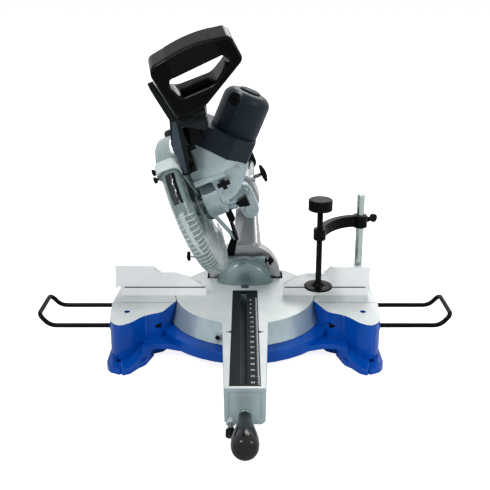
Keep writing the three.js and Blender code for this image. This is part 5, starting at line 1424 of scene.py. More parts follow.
@dataclass
class MitreLock:
    """The pear knob that locks the table, and the sprung index plunger beside it."""

    make: Maker
    start: Place = (0.0, -378.0, 41.0)
    pear: Outline = (
        (9.6, 6.0), (10.9, 6.6), (11.5, 8.4), (11.6, 12), (11.8, 18), (12.6, 25), (13.9, 32), (15.7, 40),
        (17.9, 49), (20, 58), (21.7, 67), (22.7, 75), (23, 82), (22.6, 88), (21.2, 93.5), (18.6, 98),
        (14.6, 100.9), (9.4, 102), (4, 102.2),
    )
    neck: Outline = (
        (4.6, -24), (4.6, 0.6), (9.2, 0.8), (9.8, 1.4), (9.8, 4.4), (9.2, 5.2), (8.4, 6.2),
    )
    root: Place = (-24.0, -377.0, 25.0)
    lean: float = 60.0
    cap: float = 8.8
    cap_from: float = 13.4
    cap_to: float = 25.8
    cap_flute: float = 0.45
    cap_edge: float = 0.9
    dish: float = 6.4
    pin: float = 3.4
    pin_from: float = -20.0

    def build(self) -> None:
        """Turn the pear and its chrome neck, then the plunger."""
        make = self.make
        pear = make.lathe(self.pear, 64)
        make.modify(pear, "SUBSURF", levels=1, render_levels=1)
        make.aim(pear, self.start, (0, -1, 0))
        make.stand(
            make.settle(pear, WORLD), "pear_knob", PEAR_BLACK, "mitre_knob", smooth=60, weighted=False,
        )
        neck = make.lathe(self.neck, 48)
        make.aim(neck, self.start, (0, -1, 0))
        make.dress(make.settle(neck, WORLD), "pear_neck", HARD_CHROME, "mitre_lock")
        self._plunger()

    def _plunger(self) -> None:
        """Model the index plunger: a fluted cap on a steel pin."""
        make = self.make
        lean = radians(self.lean)
        axis = Vector((0, -sin(lean), -cos(lean)))
        cap = make.plate(circle(self.cap, 72, flute=self.cap_flute), self.cap_from, self.cap_to)
        make.soften(cap, self.cap_edge, segments=2, angle=60)
        top = self.cap_to
        dish = make.lathe(
            [(self.dish, top - 0.3), (self.dish, top + 0.3), (self.dish - 0.8, top - 0.2)], 36,
        )
        cap = make.merge(cap, dish)
        pin = make.lathe([(self.pin, self.pin_from), (self.pin, self.cap_from + 1)], 32)
        for part, name, finish in ((cap, "index_cap", BLACK_ABS), (pin, "index_pin", ZINC_STEEL)):
            make.aim(part, self.root, axis)
            make.stand(make.settle(part, WORLD), name, finish, "index_knob", smooth=50)


@dataclass
class TiltColumn:
    """The domed tilt support, the leaning column with its rail housing, and the stops and lever."""

    make: Maker
    top: float = 90.0
    drum_front: float = 45.0
    drum: float = 58.0
    crown: float = 11.0
    wing_from: Place = (-58.0, 56.0, 140.0)
    wing_to: Place = (-124.0, 56.0, 150.5)
    stem: Place = (2.6, 1.2, 0.35)
    wing: tuple[Point, ...] = (
        (-4.5, -11, 4), (4.5, -11, 4), (3.2, 0, 2), (4.5, 11, 4), (-4.5, 11, 4), (-3.2, 0, 2),
    )
    wing_half: float = 2.2
    wing_edge: float = 0.9
    hub: Outline = ((4.6, -3), (5.2, -2.2), (5.2, 4), (4.4, 5))
    dome_rim: Outline = ((3.2, 0.0), (3.2, 1.4), (5.2, 2.2), (7.6, 1.6))
    dome_in: float = 8.4
    dome_from: float = 1.6
    dome_steps: int = 12
    dome_tip: float = 0.6
    dome_gap: Corner = (0.1, 0.4)
    dome_edge: float = 0.8

    def build(self) -> None:
        """Make the support, its dome, the column and what is screwed to them."""
        make = self.make
        make.cast("bevel_support", SUPPORT_GREY, 1.4)
        self._dome()
        make.cast_all([
            ("tilt_arm", COLUMN_GREY, 1.6),
            ("stop_bracket", BLACK_LACQUER, 0.9),
            ("bevel_stop_right", BLACK_LACQUER, 0.6),
            ("bevel_stop_left", BLACK_LACQUER, 0.6),
        ])
        self._left_wing()
        make.cast_all([
            ("bevel_bolt", ZINC_STEEL, 0.5),
            ("bevel_lever", BLACK_ABS, 1.6),
            ("bush_upper", ZINC_STEEL, 0.3),
            ("bush_lower", ZINC_STEEL, 0.3),
        ])

    def _left_wing(self) -> None:
        """Carry the left stop screw out to its winged grip, which shows beside the guard."""
        make = self.make
        inner, outer = Vector(self.wing_from), Vector(self.wing_to)
        radius, pitch, groove = self.stem
        stem = make.lathe(thread_profile(radius, 0, (outer - inner).length, pitch, groove), 20)
        make.aim(stem, tuple(inner), tuple(outer - inner))
        wing = make.plate(rounded(self.wing, 5), -self.wing_half, self.wing_half)
        make.soften(wing, self.wing_edge, segments=3)
        make.turn(wing, Matrix.Translation(outer) @ ALONG_Y)
        hub = make.lathe(self.hub, 28)
        make.aim(hub, tuple(outer), tuple(outer - inner))
        grip = make.merge(wing, hub)
        for part, name, finish in (
            (stem, "left_stop_stem", ZINC_STEEL), (grip, "left_stop_wing", BLACK_ABS),
        ):
            make.dress(make.settle(part, WORLD), name, finish, "turntable", smooth=50)

    def _dome(self) -> None:
        """Cap the support's front with the casting's shallow dome, rimmed by a ring."""
        make = self.make
        profile = [(self.drum - inwards, high) for inwards, high in self.dome_rim]
        for i in range(1, self.dome_steps + 1):
            turn = i * pi / 2 / (self.dome_steps + 1)
            reach = (self.drum - self.dome_in) * cos(turn)
            profile.append((max(reach, self.dome_tip), self.dome_from + self.crown * sin(turn)))
        dome = make.lathe(profile, 96)
        behind, above = self.dome_gap
        make.aim(dome, (0, self.drum_front + behind, self.top), (0, -1, 0))
        make.trim(dome, (0, 0, self.top + above), (0, 0, -1))
        make.soften(dome, self.dome_edge, segments=2, angle=50)
        make.dress(
            make.settle(dome, WORLD), "support_dome", SUPPORT_GREY, "turntable", smooth=50, weighted=False,
        )


@dataclass
class Carriage:
    """The chromed rails, the casting that holds the head, and the knob that locks the slide."""

    make: Maker
    plug: Outline = (
        (11.4, -2), (11.9, -0.4), (11.9, 0.5), (11.2, 1.1), (6.4, 1.1), (5.9, 0.6), (5.4, 0.9), (2.8, 0.9),
    )
    socket: float = 2.6
    rail_x: float = 75.0
    rail_front: float = 57.9
    rails: Corner = (192.0, 150.0)

    def build(self) -> None:
        """Make the rails, the carriage, the pivot and the link's anchor."""
        self.make.cast_all([("rail_upper", HARD_CHROME, 0.5), ("rail_lower", HARD_CHROME, 0.5)])
        self._plugs()
        self.make.cast_all([
            ("rail_end_plate", BLACK_LACQUER, 2.0),
            ("carriage_casting", CAST_SILVER, 2.0),
            ("pivot_pin", ZINC_STEEL, 0.6),
            ("link_anchor", BLACK_LACQUER, 1.0),
            ("guard_link", CAST_SILVER, 0.6),
            ("slide_lock", BLACK_ABS, 1.8),
        ])

    def _plugs(self) -> None:
        """Close the rails' front ends with turned plugs."""
        make = self.make
        plug = make.lathe(self.plug, 48)
        make.fuse(plug, make.plate(circle(self.socket, 6), -0.6, 3), "DIFFERENCE")
        places = [Matrix.Translation((self.rail_x, self.rail_front, z)) @ FORWARD for z in self.rails]
        piece = make.copies(plug, places)
        make.dress(
            make.settle(piece, HEAD), "rail_plugs", CAST_SILVER, make.body_of["rail_upper"], smooth=40,
        )


@dataclass
class GearCase:
    """The silver gear case with the parts that are screwed or clipped to it."""

    make: Maker
    screw: Outline = ((4.4, -2.0), (4.4, 1.2), (3.9, 1.9))
    socket: float = 2.2
    face: float = -150.0
    spots: Outline = ((33, 352), (112, 300), (66, 262), (34, 325))

    def build(self) -> None:
        """Make the case, the depth stop, the latch, the spindle clip, the lever's bracket and the port."""
        self.make.cast_all([
            ("gear_case", CAST_SILVER, 1.8),
            ("depth_stop", BLACK_LACQUER, 0.9),
            ("latch_knob", BLACK_ABS, 2.2),
            ("spindle_lock", BLACK_ABS, 0.8),
            ("lever_bracket", BLACK_ABS, 1.0),
            ("dust_port", BLACK_ABS, 0.7),
        ])
        self._screws()

    def _screws(self) -> None:
        """Sink socket screws in the case's front."""
        make = self.make
        head = make.lathe(self.screw, 28)
        make.fuse(head, make.plate(circle(self.socket, 6), 0.4, 3), "DIFFERENCE")
        places = [Matrix.Translation((x, self.face, z)) @ FORWARD for x, z in self.spots]
        piece = make.copies(head, places)
        make.dress(make.settle(piece, HEAD), "case_screws", CAST_SILVER, "head")


@dataclass
class Motor:
    """The dark nylon motor: a collar, a domed can with a raised strip and vents, two brush caps."""

    make: Maker
    q: float = -163.3
    y: float = -100.0
    radius: float = 45.0
    start: float = 340.3
    end: float = 419.0
    dome: float = 20.0
    brush: float = 11.0
    brush_at: float = 402.0
    strip: float = 14.0
    strip_proud: float = 4.0
    strip_turn: float = -30.0
    vents: int = 6
    vent_from: float = -26.0
    vent_step: float = 10.0
    vent_half: float = 2.0
    vent_along: Corner = (8.0, 40.0)
    vent_deep: Corner = (7.0, 4.0)
    well: Corner = (41.0, 60.0)
    well_gap: float = 0.3
    edges: Corner = (1.6, 0.9)
    cap: Outline = (
        (20, 419.3), (20, 421.4), (
            18.6, 422.8,
        ), (15, 423.0), (14.2, 422.2), (8, 422.2), (7.2, 423.0), (2, 423.0),
    )
    cap_slots: int = 16
    cap_slot: tuple[Point, Point] = ((9.2, -0.9, 421.4), (13.4, 0.9, 424))
    brush_foot: float = 41.4
    brush_rings: Outline = ((10.6, 1), (9.8, 0), (8.4, 0), (7.9, 1.1), (6.6, 1.1), (6.1, 0.3), (1, 0.3))
    brush_socket: Corner = (3.4, 42.0)
    brush_proud: tuple[tuple[str, int, float], ...] = (
        ("brush_cap_front", -1, 5.2), ("brush_cap_back", 1, 1.2),
    )

    def build(self) -> None:
        """Make the collar, the can, the end cap and the brush caps."""
        make = self.make
        make.cast("motor_collar", MOTOR_NYLON, 1.8)
        self._can()
        self._end_cap()
        self._brush_caps()

    def _facing(self) -> Matrix:
        """Give the matrix that turns the strip and the brush caps about the motor's axis."""
        turn = Matrix.Rotation(radians(self.strip_turn), 4, "Z")
        return Matrix.Translation((self.q, self.y, 0)) @ turn

    def _can(self) -> None:
        """Turn the can, raise its strip and cut its vents."""
        make = self.make
        profile = [(self.radius, self.start), (self.radius, self.end - self.dome)]
        for i in range(1, 11):
            turn = i * pi / 20
            profile.append(
                (self.radius - self.dome * (1 - cos(turn)), self.end - self.dome * (1 - sin(turn))),
            )
        can = make.turn(make.lathe(profile, 96), Matrix.Translation((self.q, self.y, 0)))
        arch = [(-self.strip, self.start), (self.strip, self.start)]
        arch += [
            (self.strip * cos(a * pi / 12), self.brush_at + self.strip * sin(a * pi / 12))
            for a in range(13)
        ]
        strip_edge, can_edge = self.edges
        strip = make.deep(arch, -self.radius - self.strip_proud, 0)
        make.soften(strip, strip_edge, segments=3, angle=50)
        make.turn(strip, self._facing())
        make.fuse(can, strip)
        slots = []
        side = self.q + self.radius
        for i in range(self.vents):
            y = self.y + self.vent_from + i * self.vent_step
            low = (side - self.vent_deep[0], y - self.vent_half, self.start + self.vent_along[0])
            high = (side + self.vent_deep[1], y + self.vent_half, self.start + self.vent_along[1])
            slots.append(make.block(low, high))
        make.fuse(can, make.merge(*slots), "DIFFERENCE")
        near, far = self.well
        for sign in (-1, 1):
            ends = ((0, sign * near, self.brush_at), (0, sign * far, self.brush_at))
            well = make.rod(*ends, self.brush + self.well_gap, 40)
            make.fuse(can, make.turn(well, self._facing()), "DIFFERENCE")
        make.soften(can, can_edge, segments=2, angle=50)
        make.stand(make.settle(can, MOTOR), "motor_can", MOTOR_NYLON, "motor_housing")

    def _end_cap(self) -> None:
        """Turn the round cap on the motor's end, with its rings of cooling slots."""
        make = self.make
        cap = make.lathe(self.cap, 64)
        slot = make.block(*self.cap_slot)
        turns = [i * 2 * pi / self.cap_slots for i in range(self.cap_slots)]
        slots = make.copies(slot, [Matrix.Rotation(turn, 4, "Z") for turn in turns])
        make.fuse(cap, slots, "DIFFERENCE")
        make.turn(cap, Matrix.Translation((self.q, self.y, 0)))
        make.stand(make.settle(cap, MOTOR), "motor_cap", MOTOR_NYLON, "motor_end_cap")

    def _brush_caps(self) -> None:
        """Turn the two brush caps with their hexagon sockets."""
        make = self.make
        wide, socket_from = self.brush_socket
        for node, sign, proud in self.brush_proud:
            high = self.radius + proud
            rings = [(radius, high - drop) for radius, drop in self.brush_rings]
            cap = make.lathe([(rings[0][0], self.brush_foot), *rings], 48)
            make.fuse(cap, make.plate(circle(wide, 6), socket_from, high + 2), "DIFFERENCE")
            make.aim(cap, (0, 0, self.brush_at), (0, sign, 0))
            make.turn(cap, self._facing())
            make.stand(make.settle(cap, MOTOR), node + "_turned", BLACK_ABS, node)


@dataclass(frozen=True)
class Rim:
    """The measures of a guard's rim, a channel open towards the arbor.

    It lies between x left and right, and reaches from the inner radius, low, to the crown's, high. Both
    shoulders are rounded by corner, the wall is as thick as skin, and flute says how proud the crown's
    long ridges are. All are in millimetres.
    """

    left: float
    right: float
    low: float
    high: float
    corner: float
    skin: float
    flute: float = 0.0


@dataclass
class Guards:
    """The milky fixed guard with its collar band, and the clear ribbed guard that swings below it."""

    make: Maker
    arbor: Place = (0.0, -110.0, 252.0)
    upper: Rim = Rim(-22, 18, 107.5, 141.5, 13, 2.4, 1.1)
    band: Rim = Rim(-24.5, 19.5, 115.5, 144.5, 13.5, 2.6)
    lower: Rim = Rim(-18.6, 14.6, 96, 137.8, 12.5, 2.2)
    ridge: Rim = Rim(-18.9, 14.9, 118, 138.25, 12.7, 0.9)
    step: float = 0.9
    flute_pitch: float = 12.0
    upper_span: Corner = (-10.0, 133.0)
    side_reach: Corner = (109.0, 24.4)
    side_from: float = 15.6
    side_edge: float = 0.5
    cover_reach: Corner = (126.0, 46.0)
    cover_x: Corner = (-14.6, -13.2)
    cover_edge: float = 0.4
    bumper_at: float = 73.0
    bumper_x: float = 4.0
    bumper: Outline = ((9.8, 0), (9.8, 6.5), (9.2, 9.6), (7.4, 11.8), (4.4, 13.0), (0.6, 13.2))
    flap: Outline = ((-15, 129), (12, 129), (12, 131), (-15, 131))
    flap_span: Corner = (-34.0, -4.0)
    band_span: Corner = (124.0, 133.0)
    knob: Outline = (
        (3.0, -1.0), (3.0, 2.4), (5.6, 2.8), (6.2, 3.6), (6.2, 6.6), (5.4, 7.6), (2.0, 7.8),
    )
    knobs_at: Corner = (127.0, 134.5)
    knobs_reach: float = 131.0
    knobs_x: float = -23.4
    lower_stops: tuple[float, ...] = (131.0, 135.0, 160.0, 314.0)
    window: Corner = (-8.5, 7.0)
    web_reach: Corner = (97.0, 39.0)
    web_x: Corner = (12.4, 14.6)
    ring_reach: Corner = (40.0, 24.0)
    ridges: int = 30
    ridges_from: float = 170.0
    ridges_step: float = 4.2
    ridge_half: float = 0.5

    def build(self) -> None:
        """Make both guards, the collar's band and its knobs."""
        self._upper()
        self._cover()
        self._bumper()
        self._flap()
        self._band()
        self._lower()
        self._ridges()

    def _section(self, rim: Rim, span: Optional[Corner] = None) -> list[Corner]:
        """Draw a guard's rim as a rounded channel.

        Args:
            rim: its measures.
            span: keep only what lies between these two x values.

        Returns:
            The closed profile as x and radius.
        """
        left, right, low, high, corner, skin = rim.left, rim.right, rim.low, rim.high, rim.corner, rim.skin
        quarter = [pi / 2 * i / 12 for i in range(13)]
        inwards = [(corner * (1 - cos(turn)), corner * (1 - sin(turn))) for turn in quarter]
        crown = right - left - 2 * corner
        steps = max(1, int(crown / self.step))
        outer = [(left, low)]
        outer += [(left + across, high - down) for across, down in inwards]
        outer += [(left + corner + crown * i / steps, high) for i in range(1, steps)]
        outer += [(right - down, high - across) for across, down in inwards]
        outer.append((right, low))
        middle, half = (left + right) / 2, (right - left) / 2
        thin = 1 - skin / half
        inner = [(middle + (x - middle) * thin, r - (skin if r > low else 0.0)) for x, r in reversed(outer)]
        if rim.flute:
            outer = [
                (x, r + rim.flute * self._wave(x - middle) * min(1.0, (r - low) / (high - low)) ** 4)
                for x, r in outer
            ]
        profile = outer + inner
        if span:
            profile = [(x, r) for x, r in profile if span[0] <= x <= span[1]]
        return profile

    def _wave(self, across: float) -> float:
        """Give a long ridge's height at a distance from the rim's middle, from 0 to 1."""
        return max(0.0, cos(across * 2 * pi / self.flute_pitch)) ** 2

    def _sector(self, reach: Corner, outwards: Iterable[float], back: Iterable[float]) -> list[Corner]:
        """Draw a sector of a ring round the arbor.

        Args:
            reach: the outer and the inner radius in millimetres.
            outwards: the outer arc's angles in degrees.
            back: the inner arc's angles, the other way round.

        Returns:
            The outline in Y and Z.
        """
        middle = self.arbor[1:]
        return arc(middle, reach[0], outwards) + arc(middle, reach[1], back)

    def _upper(self) -> None:
        """Sweep the fluted rim and add the right side plate."""
        make = self.make
        start, end = self.upper_span
        rim = make.swept(self._section(self.upper), start, end, 72, self.arbor)
        turns = [start + i * (end - start) / 48 for i in range(49)]
        side = make.across(
            self._sector(self.side_reach, turns, turns[::-1]), self.side_from, self.upper.right,
        )
        make.soften(side, self.side_edge, segments=2)
        piece = make.merge(rim, side)
        make.stand(make.settle(piece, HEAD), "fixed_guard", GUARD_MILKY, "upper_guard", smooth=50)

    def _cover(self) -> None:
        """Cut the steel plate that stands beside the blade."""
        make = self.make
        outline = self._sector(self.cover_reach, range(96, 172, 4), range(168, 95, -8))
        plate = make.across(outline, *self.cover_x)
        make.soften(plate, self.cover_edge)
        make.dress(make.settle(plate, HEAD), "blade_cover_plate", COVER_STEEL, "head")

    def _bumper(self) -> None:
        """Turn the rubber bumper on the fixed guard's crown."""
        make = self.make
        turn = radians(self.bumper_at)
        outward = Vector((0, cos(turn), sin(turn)))
        foot = Vector(self.arbor) + Vector((self.bumper_x, 0, 0)) + outward * (self.upper.high - 1)
        bumper = make.lathe(self.bumper, 40)
        make.aim(bumper, tuple(foot), tuple(outward))
        make.dress(make.settle(bumper, HEAD), "guard_bumper", FLAP_RUBBER, "head", smooth=60)

    def _flap(self) -> None:
        """Hang the dust flap behind the blade."""
        make = self.make
        flap = make.swept(self.flap, *self.flap_span, 12, self.arbor)
        make.soften(flap, self.side_edge)
        make.dress(make.settle(flap, HEAD), "dust_flap", FLAP_RUBBER, "head", smooth=50)

    def _band(self) -> None:
        """Wrap the glossy collar round the fixed guard's front end and put its two knobs on it."""
        make = self.make
        band = make.swept(self._section(self.band), *self.band_span, 12, self.arbor)
        make.soften(band, self.side_edge, segments=2, angle=60)
        make.dress(make.settle(band, HEAD), "guard_band", BAND_GLOSS, "head", smooth=50)
        knob = make.lathe(self.knob, 32)
        places = arc(self.arbor[1:], self.knobs_reach, self.knobs_at)
        knobs = make.copies(knob, [onto((self.knobs_x, y, z), (-1, 0, 0)) for y, z in places])
        make.dress(make.settle(knobs, HEAD), "band_knobs", BLACK_ABS, "head", smooth=50)

    def _lower(self) -> None:
        """Sweep the clear guard and leave its window open."""
        make = self.make
        front, window_from, window_to, back = self.lower_stops
        left_to, right_from = self.window
        whole = self._section(self.lower)
        left = self._section(self.lower, (self.lower.left - 1, left_to))
        right = self._section(self.lower, (right_from, self.lower.right + 1))
        parts = [
            make.swept(whole, front, window_from, 3, self.arbor),
            make.swept(left, window_from, window_to, 14, self.arbor),
            make.swept(right, window_from, window_to, 14, self.arbor),
            make.swept(whole, window_to, back, 80, self.arbor),
        ]
        outline = self._sector(self.web_reach, range(200, 301, 4), range(300, 199, -10))
        parts.append(make.across(outline, *self.web_x))
        outer, inner = self.ring_reach
        near, far = self.web_x
        ring = make.plate(circle(outer, 72), near, far)
        make.fuse(ring, make.plate(circle(inner, 72), near - 2, far + 2), "DIFFERENCE")
        parts.append(make.turn(ring, Matrix.Translation((0, *self.arbor[1:])) @ ALONG_X))
        piece = make.merge(*parts)
        make.stand(make.settle(piece, HEAD), "swinging_guard", GUARD_CLEAR, "lower_guard", smooth=50)

    def _ridges(self) -> None:
        """Rib the clear guard's rim."""
        make = self.make
        ridge = make.swept(self._section(self.ridge), -self.ridge_half, self.ridge_half, 1, (0, 0, 0))
        middle = Matrix.Translation(Vector(self.arbor))
        turns = [radians(self.ridges_from + i * self.ridges_step) for i in range(self.ridges)]
        ridges = make.copies(ridge, [middle @ Matrix.Rotation(turn, 4, "X") for turn in turns])
        # the ridges take the paler finish, a painted highlight
        make.dress(make.settle(ridges, HEAD), "guard_ridges", RIDGE_PAINTED_HIGHLIGHT, "guard", smooth=20)


@dataclass
class Blade:
    """The toothed blade between its flanges, on the shaft."""

    make: Maker
    arbor: Place = (0.0, -110.0, 252.0)
    radius: float = 127.5
    teeth: int = 36
    tooth: Outline = (
        (0.0, 0.0), (0.17, 0.7), (0.34, 1.4), (0.5, 4.2), (0.66, 6.8), (0.8, 7.0), (0.93, 5.4),
    )
    faces: Corner = (-2.1, -0.3)
    bore: float = 15.0
    holes: int = 5
    hole: float = 5.5
    hole_reach: float = 70.0
    tip_reach: Corner = (5.2, 0.05)
    tip_thick: float = 1.7
    tip_faces: Corner = (-2.2, -0.2)

    def build(self) -> None:
        """Cut the blade with its teeth and round holes, and add the tips, the flange and the shaft."""
        make = self.make
        outline: list[Corner] = []
        for i in range(self.teeth):
            for share, drop in self.tooth:
                turn = (i + share) * 2 * pi / self.teeth
                outline.append(((self.radius - drop) * cos(turn), (self.radius - drop) * sin(turn)))
        disc = make.plate(outline, *self.faces)
        cuts = [make.plate(circle(self.bore, 48), -4, 2)]
        for y, z in arc(
            (0.0, 0.0), self.hole_reach, [(i + 0.5) * 360 / self.holes for i in range(self.holes)],
        ):
            cuts.append(make.plate(circle(self.hole, 20, y, z), -4, 2))
        make.fuse(disc, make.merge(*cuts), "DIFFERENCE")
        make.turn(disc, Matrix.Translation(Vector(self.arbor)) @ ALONG_X)
        make.stand(make.settle(disc, HEAD), "toothed_disc", BLADE_STEEL, "saw_blade", smooth=20)
        near, far = self.tip_reach
        low, high = self.tip_faces
        tip = make.block((self.radius - near, 0.0, low), (self.radius - far, self.tip_thick, high))
        tips = make.copies(
            tip, [Matrix.Rotation(i * 2 * pi / self.teeth, 4, "Z") for i in range(self.teeth)],
        )
        make.turn(tips, Matrix.Translation(Vector(self.arbor)) @ ALONG_X)
        make.dress(make.settle(tips, HEAD), "carbide_tips", CARBIDE, "blade")
        make.cast("outer_flange", ZINC_STEEL, 0.8)
        make.cast("arbor_shaft", ZINC_STEEL, 0.4)


@dataclass
class Handle:
    """The black D-handle with its rubber grip, the trigger, and the lever that frees the guard."""

    make: Maker
    front: float = -265.0
    back: float = -218.0
    rounding: float = 4.5
    grip_from: float = 84.0
    grip_to: float = 167.0
    grip_low: float = 499.0
    grip_proud: float = 0.55
    collar_from: float = 340.4
    pocket: tuple[Point, Point] = ((97.4, -231, 513.4), (148.6, -210, 534.6))
    stem_top: tuple[Point, Point] = ((62, -261, 436), (110, -218, 446))
    stem_foot: tuple[Point, Point] = ((52, -196, 392), (92, -150, 400))
    pipe: tuple[Point, Point] = ((14, -152, 404), (60, -152, 404))
    pipe_radius: float = 11.0
    foot: tuple[Point, Point] = ((34, -196, 384), (90, -140, 404))
    root: tuple[Point, Point] = ((45, -170, 372), (74, -141, 410))
    edges: tuple[float, ...] = (4.0, 2.0, 1.2, 3.0)
    strip: tuple[tuple[float, ...], ...] = (
        (334, 23, 31, -190), (386, 24, 50, -206), (428, 42, 56, -216), (440, 42, 56, -217.6),
    )
    strip_share: float = 0.62
    strip_proud: Corner = (0.6, 0.9)
    strip_deep: Corner = (5.0, 2.0)
    cap: Corner = (9.5, 5.5)
    cap_edge: float = 0.8
    cap_at: Place = (17.2, -180.0, 338.0)

    def build(self) -> None:
        """Make the loop, its grip sleeve, the stem, the trigger and the lever."""
        make = self.make
        loop = make.loft(self._rims(self._ring("ahead"), self._ring("behind"), self.rounding, -1))
        opening = make.loft(self._rims(self._ring("near"), self._ring("far"), self.rounding, 1))
        make.fuse(loop, opening, "DIFFERENCE", twisted=True)
        make.fuse(loop, make.block(*self.pocket), "DIFFERENCE", twisted=True)
        sleeve = new_object("sleeve", loop.data.copy())
        self._sleeve(sleeve)
        stem_edge, foot_edge, pipe_edge, root_edge = self.edges
        stem = make.wrap(make.block(*self.stem_top), make.block(*self.stem_foot))
        self._above_collar(stem)
        make.soften(stem, stem_edge, segments=3, angle=30)
        pipe = make.rod(*self.pipe, self.pipe_radius, 40)
        foot = make.block(*self.foot)
        for part in (pipe, foot):
            self._above_collar(part)
        make.soften(foot, foot_edge, segments=3)
        make.soften(pipe, pipe_edge, segments=3, angle=50)
        root = make.block(*self.root)
        make.soften(root, root_edge, segments=3)
        piece = make.merge(loop, stem, foot, pipe, root)
        make.stand(make.settle(piece, HEAD), "grip_loop", GLOSS_BLACK, "d_handle", smooth=40)
        make.cast("trigger", MOTOR_NYLON, 2.4)
        self._lever()

    def _ring(self, which: str) -> list[Corner]:
        """Draw one of the loop's four outlines in X and Z.

        Args:
            which: ahead or behind for the outside, near or far for the opening.

        Returns:
            The outline's points.
        """
        corners: dict[str, list[tuple[float, ...]]] = {
            "ahead": [
                (50, 520, 6), (56, 533, 8), (
                    130, 543, 30,
                ), (195, 531, 10), (201, 489, 10), (112, 441, 10), (62, 438, 10),
            ],
            "behind": [
                (46, 526, 7), (51, 550, 9), (
                    130, 560, 34,
                ), (193, 550, 11), (197, 487, 12), (112, 441, 10), (62, 438, 10),
            ],
            "near": [(73, 492, 6), (76, 503, 5), (172, 508, 6), (181, 494, 7), (141, 469, 9), (82, 468, 9)],
            "far": [
                (66, 495, 4), (70, 504, 4), (166, 508, 3), (168.5, 502, 4), (139.5, 488, 7), (80, 489.5, 7),
            ],
        }
        return rounded(corners[which], 6)

    def _rims(self, first: list[Corner], last: list[Corner], radius: float, sign: int) -> list[list[Point]]:
        """Blend two outlines from the front face to the back and round both rims.

        Args:
            first: the front outline.
            last: the back outline, with as many points.
            radius: the rims' rounding in millimetres.
            sign: -1 to draw the rims in, 1 to flare them out.

        Returns:
            The rings for a loft.
        """
        steps = 5
        turns = [i * pi / 2 / steps for i in range(steps + 1)]
        ends = [(radius * (1 - cos(t)), radius * (1 - sin(t))) for t in turns]
        if sign > 0:
            ends.insert(0, (-1.0, radius + 0.5))
        deep = self.back - self.front
        stops = [(depth, spread) for depth, spread in ends]
        stops += [(deep * share, 0.0) for share in (0.25, 0.4, 0.55, 0.7)]
        stops += [(deep - depth, spread) for depth, spread in reversed(ends)]
        rings = []
        for depth, spread in stops:
            share = min(1.0, max(0.0, depth / deep))
            ring = [(x + (u - x) * share, z + (v - z) * share) for (x, z), (u, v) in zip(first, last)]
            xs, zs = [x for x, _ in ring], [z for _, z in ring]
            middle_x, middle_z = (min(xs) + max(xs)) / 2, (min(zs) + max(zs)) / 2
            wide = 1 + sign * spread * 2 / (max(xs) - min(xs))
            high = 1 + sign * spread * 2 / (max(zs) - min(zs))
            y = self.front + depth
            rings.append(
                [(middle_x + (x - middle_x) * wide, y, middle_z + (z - middle_z) * high) for x, z in ring],
            )
        return rings

    def _above_collar(self, part: Piece) -> None:
        """Cut a part off where the motor's collar begins, seen in the head's frame."""
        normal = Vector((SLANT, 0, SLANT))
        self.make.trim(part, tuple(normal * self.collar_from), tuple(-normal))

    def _sleeve(self, sleeve: Piece) -> None:
        """Cut the grip's part out of a copy of the loop and let it stand a little proud.

        Args:
            sleeve: the copy, which is used up.
        """
        make = self.make
        make.trim(sleeve, (self.grip_from, 0, 0), (-1, 0, 0))
        make.trim(sleeve, (self.grip_to, 0, 0), (1, 0, 0))
        make.trim(sleeve, (0, 0, self.grip_low), (0, 0, -1))
        make.swell(sleeve, self.grip_proud)
        make.dress(make.settle(sleeve, HEAD), "grip_sleeve", GRIP_RUBBER, "head", smooth=40)

    def _lever(self) -> None:
        """Model the guard lever: a dark channel with a painted front strip and a hexagon pivot cap."""
        make = self.make
        make.cast("guard_lever", LEVER_DARK, 0.9)
        aside, ahead = self.strip_proud
        outer_deep, inner_deep = self.strip_deep
        rings = []
        for z, left, right, front in self.strip:
            outer, inner = left - aside, left + (right - left) * self.strip_share
            rings.append([
                (outer, front - ahead, z), (outer, front + outer_deep, z),
                (inner, front + inner_deep, z), (inner, front - ahead, z),
            ])
        face = make.loft(rings)
        make.dress(make.settle(face, HEAD), "lever_strip", LEVER_PAINT, "lever")
        radius, thick = self.cap
        cap = make.plate(circle(radius, 6), 0, thick)
        make.soften(cap, self.cap_edge, segments=2)
        make.turn(cap, Matrix.Translation(self.cap_at) @ ALONG_X)
        make.dress(make.settle(cap, HEAD), "lever_cap", BLACK_ABS, "lever")


